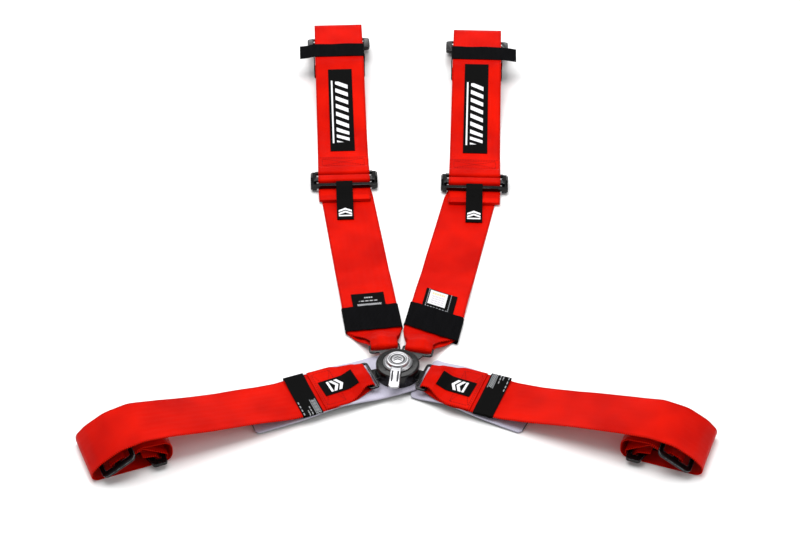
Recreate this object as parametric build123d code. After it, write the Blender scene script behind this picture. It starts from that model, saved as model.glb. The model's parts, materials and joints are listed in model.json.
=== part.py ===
from build123d import *
import os
from math import cos, radians, sin, tan

# A four-point racing harness laid out flat: two shoulder belts and two lap belts meet in a
# rotary cam-lock buckle. Each belt ends in a rolled-up bundle that holds its three-bar slide
# and its snap hook. Everything is worked out about the buckle's axis (X to the right, Y towards
# the shoulder ends, Z up from the floor) and moved at the end so that the origin is the centre
# of the floor area that the whole harness covers.
# A belt's own frame has x along the belt, away from the buckle, y across it and z up. Points
# of a belt's route are (x, z) pairs in that frame.

# ---- driving dimensions, mm ----
WEB_WIDTH = 75.0          # racing webbing, three inches
WEB_THICK = 1.6
HALF_WEB = WEB_WIDTH / 2
LAP_GATHERED = 44.0       # width of the webbing where it is bunched through a tongue
SHOULDER_GATHERED = 36.0

# buckle
BODY_R = 28.5             # housing radius
BODY_Z0 = 7.6             # underside of the back plate
BODY_Z1 = 27.0            # top of the housing
PLATE_T = 2.4             # back plate thickness
WALL = 4.6                # housing wall
CEILING = 3.5             # housing top thickness
TONGUE_Z = 13.0           # underside of the four tongues
TONGUE_T = 3.0
NOSE_W = 18.0             # tongue nose width
NOSE_IN = 14.0            # radius at which a nose stops inside the housing
STUD_AT = 20.0            # radius of the latch studs
STUD_R = 3.0
STUD_HOLE_R = 3.5
SHOULDER_BAR_AT = 53.0    # radius of the tongue bar that the webbing wraps
LAP_BAR_AT = 45.0
SPINDLE_R = 4.0
LEVER_BORE_R = 4.05
LEVER_ANGLE = 263.0       # direction of the lever's tab
LEVER_BASE = BODY_Z1 + 0.4

# belts: where the tongue points, where the belt starts and leads, and the belt's far point
SHOULDERS = {
    "left": {"tongue": 113.0, "from": 118.5, "gathered_at": -7.0, "adjuster": (-79.1, 430.0),
             "upper": 92.6, "length": 378.5, "bundle": 110.5, "patch": (74.0, 242.0),
             "label": 27.0, "outboard": 1},
    "right": {"tongue": 51.5, "from": 48.5, "gathered_at": 8.0, "adjuster": (112.0, 423.0),
              "upper": 87.8, "length": 370.0, "bundle": 104.0, "patch": (75.0, 256.0),
              "label": 37.0, "outboard": -1},
}
KEEPER_SKEW = {"left": 0.0, "right": 15.0}    # how far a keeper sits askew on its belt, degrees
LAPS = {
    "left": {"tongue": 198.0, "end": (-398.0, -160.0), "pad_at": (12.7, 9.3),
             "pad_angle": 201.2,
             "pad_route": [(0, 5.7), (62, 5.7), (104, 8.0), (150, 4.8), (188, 1.8), (221, 1.8)]},
    "right": {"tongue": 338.0, "end": (396.0, -150.0), "pad_at": (32.5, -2.0),
              "pad_angle": 334.0,
              "pad_route": [(0, 1.8), (14, 1.8), (50, 7.2), (96, 4.6), (130, 1.8), (157, 1.8)]},
}
PAD_WIDTH = 80.0
PAD_THICK = 3.5

# shoulder keeper band and labels, measured along the lower belt from the tongue bar
KEEPER = (44.0, 94.0)
KEEPER_WALL = 1.1
KEEPER_TOP = 7.4
LABEL_WIDTH = 45.0

# shoulder adjuster, in the frame of the upper belt
ADJ_WIDTH = 97.5
ADJ_FRONT = -24.0
ADJ_REAR = 16.0
ADJ_RAIL = 8.75
ADJ_T = 3.0
ADJ_Z = 3.5
FRONT_BAR = (6.0, 11.5)   # bar over the webbing's tail, from z to z
PIVOT = (13.0, 6.0)       # round rear bar that the upper belt is sewn round
PIVOT_R = 3.0
LOCK_BAR = (-10.5, -1.5)  # knurled sliding bar, from x to x
LOCK_Z = (6.5, 11.5)
TAB_WIDTH = 24.0

# bundles
LAP_BUNDLE = 111.0
LAP_BUNDLE_H = 42.6
LAP_SLIDE = (70.0, 20.5, 27.0)    # a slide's centre (x, z) in its bundle, and its tilt
TOP_BUNDLE = 104.0
TOP_BUNDLE_H = 39.2
TOP_SLIDE = (68.0, 22.0, 15.0)
STRAP = (4.0, 39.0)       # wrap strap, from the bundle's near end

# three-bar slide and snap hook
SLIDE_LENGTH = 48.0
SLIDE_WIDTH = 98.0
SLIDE_T = 3.0
WINDOW_HALF = 39.5
HOOK_T = 4.0
HOOK_Z = 6.5
HOOK_EYE = 47.0           # from the hook's outer edge to the centre of its eye
HOOK_EYE_R = 11.5
HOOK_OUT_R = 19.0
GATE_PIN = (33.0, 12.5)   # gate pin, along and across the hook
GATE_PIN_R = 1.5
GATE_T = 1.8


def turned(x, y, angle):
    """The frame of a belt that starts at (x, y) and leads off at angle degrees."""
    return Pos(x, y, 0) * Rot(0, 0, angle)


def polar(radius, angle):
    return radius * cos(radians(angle)), radius * sin(radians(angle))


def block(x0, x1, y0, y1, z0, z1):
    """A box from corner to corner."""
    return Pos((x0 + x1) / 2, (y0 + y1) / 2, (z0 + z1) / 2) * Box(x1 - x0, y1 - y0, z1 - z0)


def rod(radius, x, y, z0, z1):
    return Pos(x, y, (z0 + z1) / 2) * Cylinder(radius, z1 - z0)


def beside(route, radii, distance):
    """Corners and radii of the line that runs at a distance to the left of a rounded route."""
    points = [Vector(*p) for p in route]
    ways = [(b - a).normalized() for a, b in zip(points, points[1:])]
    sides = [Vector(-way.Y, way.X) for way in ways]
    corners, new_radii = [points[0] + sides[0] * distance], []
    for n, radius in enumerate(radii):
        mitre = (sides[n] + sides[n + 1]) / (1 + sides[n].dot(sides[n + 1]))
        corners.append(points[n + 1] + mitre * distance)
        left_turn = ways[n].cross(ways[n + 1]).Z > 0
        new_radii.append(radius - distance if left_turn else radius + distance)
    return corners + [points[-1] + sides[-1] * distance], new_radii


def ribbon(route, radii, width=WEB_WIDTH, thick=WEB_THICK):
    """A strip of one thickness and width that follows (x, z) points with rounded corners."""
    edges, ends = Curve(), []
    for distance in (thick / 2, -thick / 2):
        corners, rounded = beside(route, radii, distance)
        edges += FilletPolyline(*corners, radius=rounded)
        ends.append((corners[0], corners[-1]))
    edges += [Line(ends[0][0], ends[1][0]), Line(ends[0][1], ends[1][1])]
    return Rot(90, 0, 0) * extrude(make_face(edges), width / 2, both=True)


def prism(outline, z0, z1):
    """A flat outline of (x, y) points, extruded from z0 to z1."""
    return Pos(0, 0, z0) * extrude(make_face(Polyline(*outline, close=True)), z1 - z0)


def skew_block(x0, x1, y0, y1, z0, z1, angle):
    """A box whose ends are sheared along x by an angle."""
    lean = tan(radians(angle))
    return prism([(x0 + y0 * lean, y0), (x1 + y0 * lean, y0), (x1 + y1 * lean, y1),
                  (x0 + y1 * lean, y1)], z0, z1)


def gathered_outline(start, full, far, gathered, middle=0.0):
    """Plan outline that narrows to the gathered width near the tongue."""
    y0, y1 = middle - gathered / 2, middle + gathered / 2
    return [(start, y0), (start + 12, y0), (full, -HALF_WEB), (far, -HALF_WEB),
            (far, HALF_WEB), (full, HALF_WEB), (start + 12, y1), (start, y1)]


def tongue(direction, bar_at, frame, gathered, middle=0.0):
    """A tongue: its nose points at the buckle's axis and its slotted end faces the belt."""
    half = NOSE_W / 2
    nose = prism([(NOSE_IN, -half + 4.5), (NOSE_IN + 4.5, -half), (bar_at - 10, -half),
                  (bar_at - 10, half), (NOSE_IN + 4.5, half), (NOSE_IN, half - 4.5)],
                 TONGUE_Z, TONGUE_Z + TONGUE_T)
    nose -= rod(STUD_HOLE_R, STUD_AT, 0, TONGUE_Z - 1, TONGUE_Z + TONGUE_T + 1)
    y0, y1 = middle - gathered / 2, middle + gathered / 2
    end = block(-12.5, 3, y0 - 3, y1 + 3, TONGUE_Z, TONGUE_Z + TONGUE_T)
    end = fillet(end.edges().filter_by(Axis.Z), 5)
    whole = Rot(0, 0, direction) * nose + frame * end
    return whole - frame * block(-9.5, -3, y0 - 0.5, y1 + 0.5, 0, 30)


def slide_frame(x, z, tilt):
    """Turns points of a slide's own (along, above) frame into the belt's (x, z)."""
    c, s = cos(radians(tilt)), sin(radians(tilt))
    return lambda u, w: (x + u * c + w * s, z - u * s + w * c)


def three_bar_slide(x, z, tilt):
    plate = block(-SLIDE_LENGTH / 2, SLIDE_LENGTH / 2, -SLIDE_WIDTH / 2, SLIDE_WIDTH / 2,
                  -SLIDE_T / 2, SLIDE_T / 2)
    plate = fillet(plate.edges().filter_by(Axis.Z), 8)
    for low, high in ((-18, -4), (4, 18)):
        window = block(low, high, -WINDOW_HALF, WINDOW_HALF, -5, 5)
        plate -= fillet(window.edges().filter_by(Axis.Z), 2)
    return Pos(x, 0, z) * Rot(0, tilt, 0) * plate


def snap_hook():
    """Snap hook in its own frame: x from the webbing bar to the nose, y across, z up."""
    half = SLIDE_WIDTH / 2
    neck_z = HOOK_Z, HOOK_Z + HOOK_T
    outline = [(0, -half), (18, -half), (26, -20), (40, -16), (40, 16), (26, 20), (18, half),
               (0, half)]
    hook = prism(outline, *neck_z)
    hook = fillet(hook.edges().filter_by(Axis.Z).group_by(SortBy.LENGTH)[-1], 4)
    slot = block(5, 13.5, -WINDOW_HALF, WINDOW_HALF, 0, 20)
    hook -= fillet(slot.edges().filter_by(Axis.Z), 2)
    hook += rod(HOOK_OUT_R, HOOK_EYE, 0, *neck_z)
    hook -= rod(HOOK_EYE_R, HOOK_EYE, 0, 0, 20)
    hook -= block(HOOK_EYE - 9, HOOK_EYE + 4, 6, 25, 0, 20)
    middle = HOOK_Z + HOOK_T / 2
    channel = GATE_T / 2 + 0.12
    x, y = GATE_PIN
    hook -= block(x - 4, HOOK_EYE - 8, y - 5, 25, middle - channel, middle + channel)
    hook -= block(HOOK_EYE + 3, x + 21, 6, y + 2.6, middle - channel, middle + channel)
    return hook - rod(GATE_PIN_R + 0.02, x, y, 0, 20)


def hook_gate():
    x, y = GATE_PIN
    middle = HOOK_Z + HOOK_T / 2
    bar = block(x, x + 20, y - 1.6, y + 2.2, middle - GATE_T / 2, middle + GATE_T / 2)
    bar += rod(3.4, x, y, middle - GATE_T / 2, middle + GATE_T / 2)
    return bar - rod(GATE_PIN_R + 0.05, x, y, 0, 20)


def gate_pin():
    x, y = GATE_PIN
    return rod(GATE_PIN_R, x, y, HOOK_Z - 0.6, HOOK_Z + HOOK_T + 0.6)


def hook_place(start, lies):
    """Where a hook lies in its belt: laps point it outwards, shoulders back inwards."""
    if lies == "outwards":
        return Pos(start + 9.5, 0, 0)
    return Pos(start + 91, 0, 0) * Rot(0, 0, 180)


def lap_end(start):
    """Route of a lap belt's rolled end, from its top run to the last cut edge."""
    at = slide_frame(*LAP_SLIDE)
    inner = [at(-34, -2.6), at(-12, -2.6), at(-9, 2.7), at(9, 2.7), at(11, -4.9), at(-34, -4.9)]
    end = LAP_BUNDLE - 6.5
    route = [(34, LAP_BUNDLE_H), (66, 38.4), (92, 25.5), (end, 14), (end, 0.8), (0, 0.8), (0, 30)]
    route += inner + [(6.6, 12.6), (6.6, 4.6), (16.2, 4.6), (21, 13.6), (38, 17)]
    radii = [60, 40, 30, 10, 8.5, 12, 12, 8, 2, 2, 2, 2, 6, 2.6, 2.6, 2.5, 2.5]
    return [(start + x, z) for x, z in route], radii


def top_end(start, end):
    """Route of a shoulder belt's rolled end."""
    at = slide_frame(*TOP_SLIDE)
    inner = [at(-34, -2.6), at(-12, -2.6), at(-9, 2.7), at(9, 2.7), at(12, -2.7), at(20, -2.7)]
    route = [(end, TOP_BUNDLE_H), (end, 2.4), (2, 2.4), (2, 27)]
    route += inner + [(93.9, 12.7), (93.9, 4.5), (84.4, 4.5), (79.6, 12.6), (58, 12.6)]
    radii = [22, 12, 11, 11, 8, 2, 2, 2, 2, 2, 2.6, 2.6, 2.5, 2.5]
    return [(start + x, z) for x, z in route], radii


NODES = {}


def add(name, shape):
    NODES[name] = shape


def buckle():
    """The cam-lock buckle without its lever."""
    inside_r = BODY_R - WALL
    floor_z = BODY_Z0 + PLATE_T
    screws_at = [polar(BODY_R - WALL / 2, a) for a in (86, 160, 268, 15)]
    plate = rod(BODY_R, 0, 0, BODY_Z0, floor_z) - rod(SPINDLE_R, 0, 0, 0, 20)
    housing = rod(BODY_R, 0, 0, floor_z, BODY_Z1)
    housing = fillet(housing.edges().group_by(Axis.Z)[-1], 2.5)
    housing -= rod(inside_r, 0, 0, floor_z - 1, BODY_Z1 - CEILING)
    housing -= rod(7.6, 0, 0, floor_z, 40)
    for angle in [s["tongue"] for s in (*SHOULDERS.values(), *LAPS.values())]:
        housing -= Rot(0, 0, angle) * block(
            10, 40, -NOSE_W / 2 - 0.6, NOSE_W / 2 + 0.6, TONGUE_Z - 0.4, TONGUE_Z + TONGUE_T + 0.4)
    screws = []
    for x, y in screws_at:
        plate -= rod(1.25, x, y, 0, 20)
        housing -= rod(1.25, x, y, 0, 12.3)
        screws.append(rod(1.2, x, y, BODY_Z0 + 0.2, 12.2))
    add("buckle_back_plate", plate)
    add("buckle_housing", housing)
    add("housing_screws", Compound(children=screws))
    add("spindle", rod(SPINDLE_R, 0, 0, BODY_Z0 + 0.2, LEVER_BASE + 3.2))

    top = BODY_Z1 - CEILING
    spider = rod(13, 0, 0, top - 0.8, top) - rod(8, 0, 0, 0, 40)
    for angle in [s["tongue"] for s in (*SHOULDERS.values(), *LAPS.values())]:
        arm = block(10, STUD_AT + 2.5, -3, 3, top - 0.8, top)
        arm += rod(STUD_R, STUD_AT, 0, TONGUE_Z - 0.3, top - 0.4)
        spider += Rot(0, 0, angle) * arm
    add("latch_spring_spider", spider)
    rings = [Pos(0, 0, floor_z + 1.2 + 1.3 * n) * Torus(6.4, 0.55) for n in range(4)]
    add("lever_return_spring", Compound(children=rings))


def lever():
    """The silver release lever, its badge, and the cam that it turns inside the buckle."""
    base = LEVER_BASE
    dome = rod(19.2, 0, 0, base, base + 3.2)
    dome = chamfer(dome.edges().group_by(Axis.Z)[-1], 2.6)
    dome += rod(15, 0, 0, base + 2, base + 7)
    dome = fillet(dome.edges().group_by(Axis.Z)[-1], 1.5)
    route = [(8, base + 3), (24, base + 3), (34, base - 2.2), (45, base - 3.4)]
    tab = ribbon(route, [12, 10], width=15, thick=3.4)
    tab = fillet(tab.edges().filter_by(Axis.Z), 2.5)
    whole = dome + Rot(0, 0, LEVER_ANGLE) * tab
    whole += rod(6.4, 0, 0, 23.6, base + 1)
    whole -= rod(11.3, 0, 0, base + 5.4, base + 10)
    whole -= rod(LEVER_BORE_R, 0, 0, 0, base + 3.4)
    add("release_lever", whole)
    add("lever_badge", rod(11, 0, 0, base + 5.4, base + 6.6))
    cam = rod(11.5, 0, 0, 19.4, 22.3) - rod(LEVER_BORE_R, 0, 0, 0, 40)
    cam += rod(7.2, 0, 0, 16.6, 23.6) - rod(LEVER_BORE_R, 0, 0, 0, 40)
    for angle in (35, 103, 160, 282):
        cam -= rod(2.2, *polar(11.2, angle), 0, 40)
    add("release_cam", cam)


def hardware(name, frame, start, slide_at, lies):
    """The slide, hook, gate and pin in one belt's bundle."""
    x, z, tilt = slide_at
    add(f"{name}_slide", frame * three_bar_slide(start + x, z, tilt))
    place = frame * hook_place(start, lies)
    add(f"{name}_hook", place * snap_hook())
    add(f"{name}_hook_gate", place * hook_gate())
    add(f"{name}_gate_pin", place * gate_pin())


def shoulder_frames(side):
    """The lower belt's frame, its length to the adjuster, and the upper belt's frame."""
    s = SHOULDERS[side]
    x0, y0 = polar(SHOULDER_BAR_AT, s["from"])
    x1, y1 = s["adjuster"]
    run = Vector(x1 - x0, y1 - y0)
    angle = Vector(1, 0, 0).get_signed_angle(run, Vector(0, 0, 1))
    return turned(x0, y0, angle), run.length, turned(x1, y1, s["upper"]), angle


def shoulder(side):
    s = SHOULDERS[side]
    name = f"{side}_shoulder"
    low, run, up, angle = shoulder_frames(side)
    middle = s["gathered_at"]
    add(f"{name}_tongue",
        tongue(s["tongue"], SHOULDER_BAR_AT, low, SHOULDER_GATHERED, middle))

    # lower belt: sewn flap, wrap round the tongue bar, run to the adjuster, wrap and tail
    route = [(102, 2.3), (32, 2.3), (10, 10.9), (-5.2, 10.9), (-5.2, 18.1), (10, 18.1), (38, 4.3),
             (136, 4.3), (175, 0.8), (run - 10, 0.8)]
    belt = ribbon(route, [10, 8, 3.5, 3.5, 8, 14, 30, 30])
    belt &= prism(gathered_outline(-8, 44, run, SHOULDER_GATHERED, middle), 0, 30)
    end = [(-12, 0.8), (0.5, 0.8), (0.5, 13.4), (-13.6, 13.4), (-15.2, 4.6), (-46, 4.6)]
    tail = ribbon(end, [5, 4, 3.5, 3.5]) + block(-51.5, -41, -HALF_WEB, HALF_WEB, 2.6, 6.6)
    add(f"{name}_lower_webbing", low * belt + up * tail)

    x0, x1 = KEEPER
    w = KEEPER_WALL
    skew = KEEPER_SKEW[side]
    inner = HALF_WEB + 0.1
    band = skew_block(x0, x1, -inner - w, inner + w, 0, KEEPER_TOP, skew)
    band -= skew_block(x0 - 1, x1 + 1, -inner, inner, w, KEEPER_TOP - w, skew)
    add(f"{name}_keeper", low * band)
    far = x1 + s["label"]
    half = LABEL_WIDTH / 2
    add(f"{name}_label", low * skew_block(x1 - 8, far, -half, half, 5.25, 5.85, skew))
    if side == "right":
        add(f"{name}_label_patch", low * skew_block(x1 + 7, far - 2, -9, 16, 5.85, 6.2, skew))

    # adjuster frame: two rails, a front bar over the webbing's tail, a round rear bar, walls
    # that hold the lock bar, and ears
    half = ADJ_WIDTH / 2
    inner = half - ADJ_RAIL
    top = ADJ_Z + ADJ_T
    ring = block(ADJ_FRONT, ADJ_REAR, -half, half, ADJ_Z, top)
    ring = fillet(ring.edges().filter_by(Axis.Z), 4)
    ring -= block(ADJ_FRONT - 5, ADJ_REAR + 5, -inner, inner, 0, 20)
    ring += block(ADJ_FRONT, ADJ_FRONT + 6, -half, half, *FRONT_BAR)
    ring += Pos(PIVOT[0], 0, PIVOT[1]) * Rot(90, 0, 0) * Cylinder(PIVOT_R, 2 * inner + 4)
    for hand in (-1, 1):
        y0, y1 = sorted((hand * (inner + 1.6), hand * (inner + 4.2)))
        wall = block(-16, 4, y0, y1, top - 0.5, 14.5)
        ring += wall - block(-13, 0.5, y0 - 1, y1 + 1, LOCK_Z[0] - 0.1, LOCK_Z[1] + 0.2)
        e0, e1 = sorted((hand * (half - 2.6), hand * half))
        ear = Rot(90, 0, 0) * extrude(
            make_face(Polyline((-14, top - 1), (6, top - 1), (2, 15), (-3, 17.5), (-9, 16),
                               close=True)), (e1 - e0) / 2, both=True)
        ring += Pos(0, (e0 + e1) / 2, 0) * ear
    add(f"{name}_adjuster_frame", up * ring)
    bar = block(*LOCK_BAR, -inner - 3.6, inner + 3.6, *LOCK_Z)
    add(f"{name}_lock_bar", up * fillet(bar.edges().filter_by(Axis.Y), 1.6))
    tab = ribbon([(-16, 12.7), (-25.6, 12.7), (-36, 7.9), (-54, 7.9), (-70, 3.2), (-94, 3.0)],
                 [3, 6, 8, 8], TAB_WIDTH, 1.4)
    add(f"{name}_release_tab", up * tab)

    # upper belt: sewn flap, loop round the pivot bar, run, rise and rolled end
    start = s["length"] - s["bundle"]
    rise = [(125, 0.8), (start - 10, TOP_BUNDLE_H)]
    loop = [(58, 2.6), (34, 2.6), (23, 10.2), (8.8, 10.2), (8.8, 1.8), (24, 1.8), (36, 0.8)]
    bundle, bundle_radii = top_end(start, s["bundle"])
    route = loop + rise + bundle
    radii = [8, 8, 4.15, 4.15, 12, 12, 60, 60] + bundle_radii
    add(f"{name}_upper_webbing", up * ribbon(route, radii))
    hardware(name, up, start, TOP_SLIDE, "inwards")

    lift = WEB_THICK / 2 + 0.5
    slope = (rise[1][1] - rise[0][1]) / (rise[1][0] - rise[0][0])
    p0, p1 = s["patch"]
    patch = [(p0, 0.8 + lift), (124, 0.8 + lift), (p1, 0.8 + lift + slope * (p1 - 124))]
    add(f"{name}_patch", up * ribbon(patch, [60], 36.5, 0.6))

    x0, x1 = start + STRAP[0], start + STRAP[1]
    z1 = TOP_BUNDLE_H + WEB_THICK / 2 + 0.3
    strap = block(x0, x1, -39.6, 39.6, 0, z1 + 1.2) - block(x0 - 1, x1 + 1, -38.4, 38.4, 1.2, z1)
    y0, y1 = sorted((s["outboard"] * 39.0, s["outboard"] * 61.0))
    strap += block(x0, x1, y0, y1, z1 - 3, z1 - 1.8)
    add(f"{name}_top_strap", up * strap)


def lap_frame(side):
    s = LAPS[side]
    x0, y0 = polar(LAP_BAR_AT, s["tongue"])
    run = Vector(s["end"][0] - x0, s["end"][1] - y0)
    angle = Vector(1, 0, 0).get_signed_angle(run, Vector(0, 0, 1))
    return turned(x0, y0, angle), run.length, angle


def lap(side):
    s = LAPS[side]
    name = f"{side}_lap"
    frame, run, angle = lap_frame(side)
    start = run - LAP_BUNDLE
    add(f"{name}_tongue", tongue(s["tongue"], LAP_BAR_AT, frame, LAP_GATHERED))

    bundle, bundle_radii = lap_end(start)
    route = [(67, 12.9), (26, 12.9), (10, 18.1), (-5.2, 18.1), (-5.2, 10.9), (108, 10.9),
             (start - 4, 38.8)] + bundle
    belt = ribbon(route, [10, 8, 3.5, 3.5, 60, 60] + bundle_radii)
    belt &= prism(gathered_outline(-8, 34, run + 40, LAP_GATHERED), -1, 60)
    add(f"{name}_webbing", frame * belt)
    tag = ribbon([(13, 18.8), (26.5, 14.4), (60, 14.4)], [8], 28, 0.6)
    add(f"{name}_tag", frame * tag)
    band = block(72, 99, -HALF_WEB - 1.4, HALF_WEB + 1.4, 8.9, 12.9)
    band -= block(71, 100, -HALF_WEB - 0.4, HALF_WEB + 0.4, 9.8, 12.0)
    add(f"{name}_label_band", frame * band)
    pad = ribbon(s["pad_route"], [40, 60, 60, 60], PAD_WIDTH, PAD_THICK)
    add(f"{name}_pad", turned(*s["pad_at"], s["pad_angle"]) * pad)
    hardware(name, frame, start, LAP_SLIDE, "outwards")


buckle()
lever()
for which in SHOULDERS:
    shoulder(which)
for which in LAPS:
    lap(which)

boxes = [shape.bounding_box() for shape in NODES.values()]
low_x, high_x = min(b.min.X for b in boxes), max(b.max.X for b in boxes)
low_y, high_y = min(b.min.Y for b in boxes), max(b.max.Y for b in boxes)
low_z = min(b.min.Z for b in boxes)
SHIFT = Vector(-(low_x + high_x) / 2, -(low_y + high_y) / 2, -low_z)

os.makedirs("parts", exist_ok=True)
for node, shape in NODES.items():
    export_step(Pos(SHIFT) * shape, f"parts/{node}.step")
print(f"{len(NODES)} nodes, buckle axis at ({SHIFT.X:.2f}, {SHIFT.Y:.2f}), lift {SHIFT.Z:.3f}")
print(f"size {high_x - low_x:.1f} x {high_y - low_y:.1f}")
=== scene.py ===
import json
from math import acos, ceil, cos, degrees, pi, radians, sin, tan

import bmesh
import bpy
import numpy as np
from bpy.props import FloatProperty, FloatVectorProperty, PointerProperty
from mathutils import Matrix, Vector

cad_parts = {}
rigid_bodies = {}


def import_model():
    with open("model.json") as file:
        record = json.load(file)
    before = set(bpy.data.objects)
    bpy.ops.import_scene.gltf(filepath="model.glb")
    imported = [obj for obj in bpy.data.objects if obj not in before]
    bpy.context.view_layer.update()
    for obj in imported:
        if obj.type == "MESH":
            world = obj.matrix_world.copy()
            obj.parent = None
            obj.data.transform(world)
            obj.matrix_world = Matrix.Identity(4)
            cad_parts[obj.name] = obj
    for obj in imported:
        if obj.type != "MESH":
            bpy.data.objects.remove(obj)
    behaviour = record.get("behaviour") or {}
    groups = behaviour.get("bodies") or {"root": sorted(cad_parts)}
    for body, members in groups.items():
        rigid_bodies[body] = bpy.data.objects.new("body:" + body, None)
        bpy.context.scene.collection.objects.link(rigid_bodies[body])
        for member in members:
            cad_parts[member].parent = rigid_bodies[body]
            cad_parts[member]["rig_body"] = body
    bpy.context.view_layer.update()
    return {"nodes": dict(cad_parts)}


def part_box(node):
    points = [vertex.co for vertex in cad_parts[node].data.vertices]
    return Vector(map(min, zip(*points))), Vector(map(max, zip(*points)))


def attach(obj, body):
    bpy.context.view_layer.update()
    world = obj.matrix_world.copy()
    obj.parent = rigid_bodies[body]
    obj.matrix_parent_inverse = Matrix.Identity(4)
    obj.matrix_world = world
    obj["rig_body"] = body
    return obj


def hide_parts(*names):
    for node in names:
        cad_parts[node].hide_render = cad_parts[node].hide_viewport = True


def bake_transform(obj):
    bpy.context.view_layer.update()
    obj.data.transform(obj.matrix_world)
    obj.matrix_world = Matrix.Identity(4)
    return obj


bl_info = {
    "name": "Racing harness",
    "version": (1, 0, 0),
    "blender": (4, 5, 0),
    "location": "3D View > Sidebar > Harness",
    "description": "Dresses the packed racing harness in woven, sewn and metal pieces",
    "category": "Object",
}

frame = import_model()

# ---- sizes in mm, in each belt's own frame: x along it away from the buckle, y across, z up ----
MM = 0.001
WEB_HALF = 37.5
WEB_THICK = 1.6
SHOULDER_BAR_AT, LAP_BAR_AT = 53.0, 45.0
SHOULDERS = {
    "left": {"from": 118.5, "gathered_at": -7.0, "adjuster": (-79.1, 430.0), "upper": 92.6,
             "length": 378.5, "bundle": 110.5, "patch": (74.0, 242.0), "label": 27.0,
             "outboard": 1, "skew": 0.0},
    "right": {"from": 48.5, "gathered_at": 8.0, "adjuster": (112.0, 423.0), "upper": 87.8,
              "length": 370.0, "bundle": 104.0, "patch": (75.0, 256.0), "label": 37.0,
              "outboard": -1, "skew": 15.0},
}
LAPS = {
    "left": {"tongue": 198.0, "end": (-398.0, -160.0), "pad_at": (12.7, 9.3),
             "pad_angle": 201.2, "front": 1, "waves": ((104.0, 38.0, 3.2), (196.0, 30.0, 0.8)),
             "pad_route": [(0, 5.7), (62, 5.7), (104, 8.0), (150, 4.8), (188, 1.8), (221, 1.8)]},
    "right": {"tongue": 338.0, "end": (396.0, -150.0), "pad_at": (32.5, -2.0),
              "pad_angle": 334.0, "front": -1, "waves": ((52.0, 32.0, 3.0), (120.0, 25.0, 0.6)),
              "pad_route": [(0, 1.8), (14, 1.8), (50, 7.2), (96, 4.6), (130, 1.8), (157, 1.8)]},
}
PAD_HALF = 40.0
PAD_THICK = 3.5
KEEPER = (44.0, 94.0)
KEEPER_WALL = 1.1
KEEPER_TOP = 7.4
LABEL_HALF = 22.5
BAND_HALF = 13.5          # lap label bands: half the tape's width, its place on the belt and
BAND_AT = 85.5            # how far round the tape the middle of its upper side is
BAND_MIDDLE = 119.0
LAP_BUNDLE, LAP_BUNDLE_H = 111.0, 42.6
LAP_SLIDE, TOP_SLIDE = (70.0, 20.5, 27.0), (68.0, 22.0, 15.0)
TOP_BUNDLE_H = 39.2
STRAP = (4.0, 39.0)
LEVER_ANGLE = 263.0
LEVER_BASE = 27.4

# studio, in metres
FLOOR_HALF = 6.0
FLOOR_DROP = 0.0004       # gap below the lowest parts, so that the faces don't fight
AIM = (0.003, 0.231, 0)   # from the buckle's axis to the point the camera looks at
SENSOR = 36.0             # mm

low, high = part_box("spindle")
AXIS = Vector(((low.x + high.x) / 2, (low.y + high.y) / 2, 0))


# ---- shader maths ----
def socket_name(word):
    """base_color as the shader names it, Base Color."""
    return word.replace("_", " ").title().replace("Ior", "IOR")


class Value:
    """A number that varies over a surface. Arithmetic on it adds Math nodes."""

    def __init__(self, finish, socket):
        self.finish, self.socket = finish, socket

    def __add__(self, other):
        return self.finish.maths("ADD", self, other)

    __radd__ = __add__

    def __sub__(self, other):
        return self.finish.maths("SUBTRACT", self, other)

    def __rsub__(self, other):
        return self.finish.maths("SUBTRACT", other, self)

    def __mul__(self, other):
        return self.finish.maths("MULTIPLY", self, other)

    __rmul__ = __mul__

    def __truediv__(self, other):
        return self.finish.maths("DIVIDE", self, other)

    def __abs__(self):
        return self.finish.maths("ABSOLUTE", self)

    def __gt__(self, other):
        return self.finish.maths("GREATER_THAN", self, other)

    def __lt__(self, other):
        return self.finish.maths("LESS_THAN", self, other)

    def between(self, lowest, highest):
        return (self > lowest) * (self < highest)

    def wave(self, pitch):
        """0 to 1 and back again, once every pitch."""
        return self.finish.maths("SINE", self * (2 * pi / pitch)) * 0.5 + 0.5

    def folded(self, pitch):
        return self.finish.maths("PINGPONG", self, pitch)

    def dashes(self, pitch, share):
        """1 over a share of every pitch, 0 over the rest."""
        return self.finish.maths("FRACT", self / pitch) < share

    def ramp(self, start, end):
        """Rises smoothly from 0 at start to 1 at end."""
        made = self.finish.node("ShaderNodeMapRange", {"interpolation_type": "SMOOTHSTEP"},
                                {0: self, 1: start, 2: end, 3: 0.0, 4: 1.0})
        return Value(self.finish, made.outputs[0])


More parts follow.
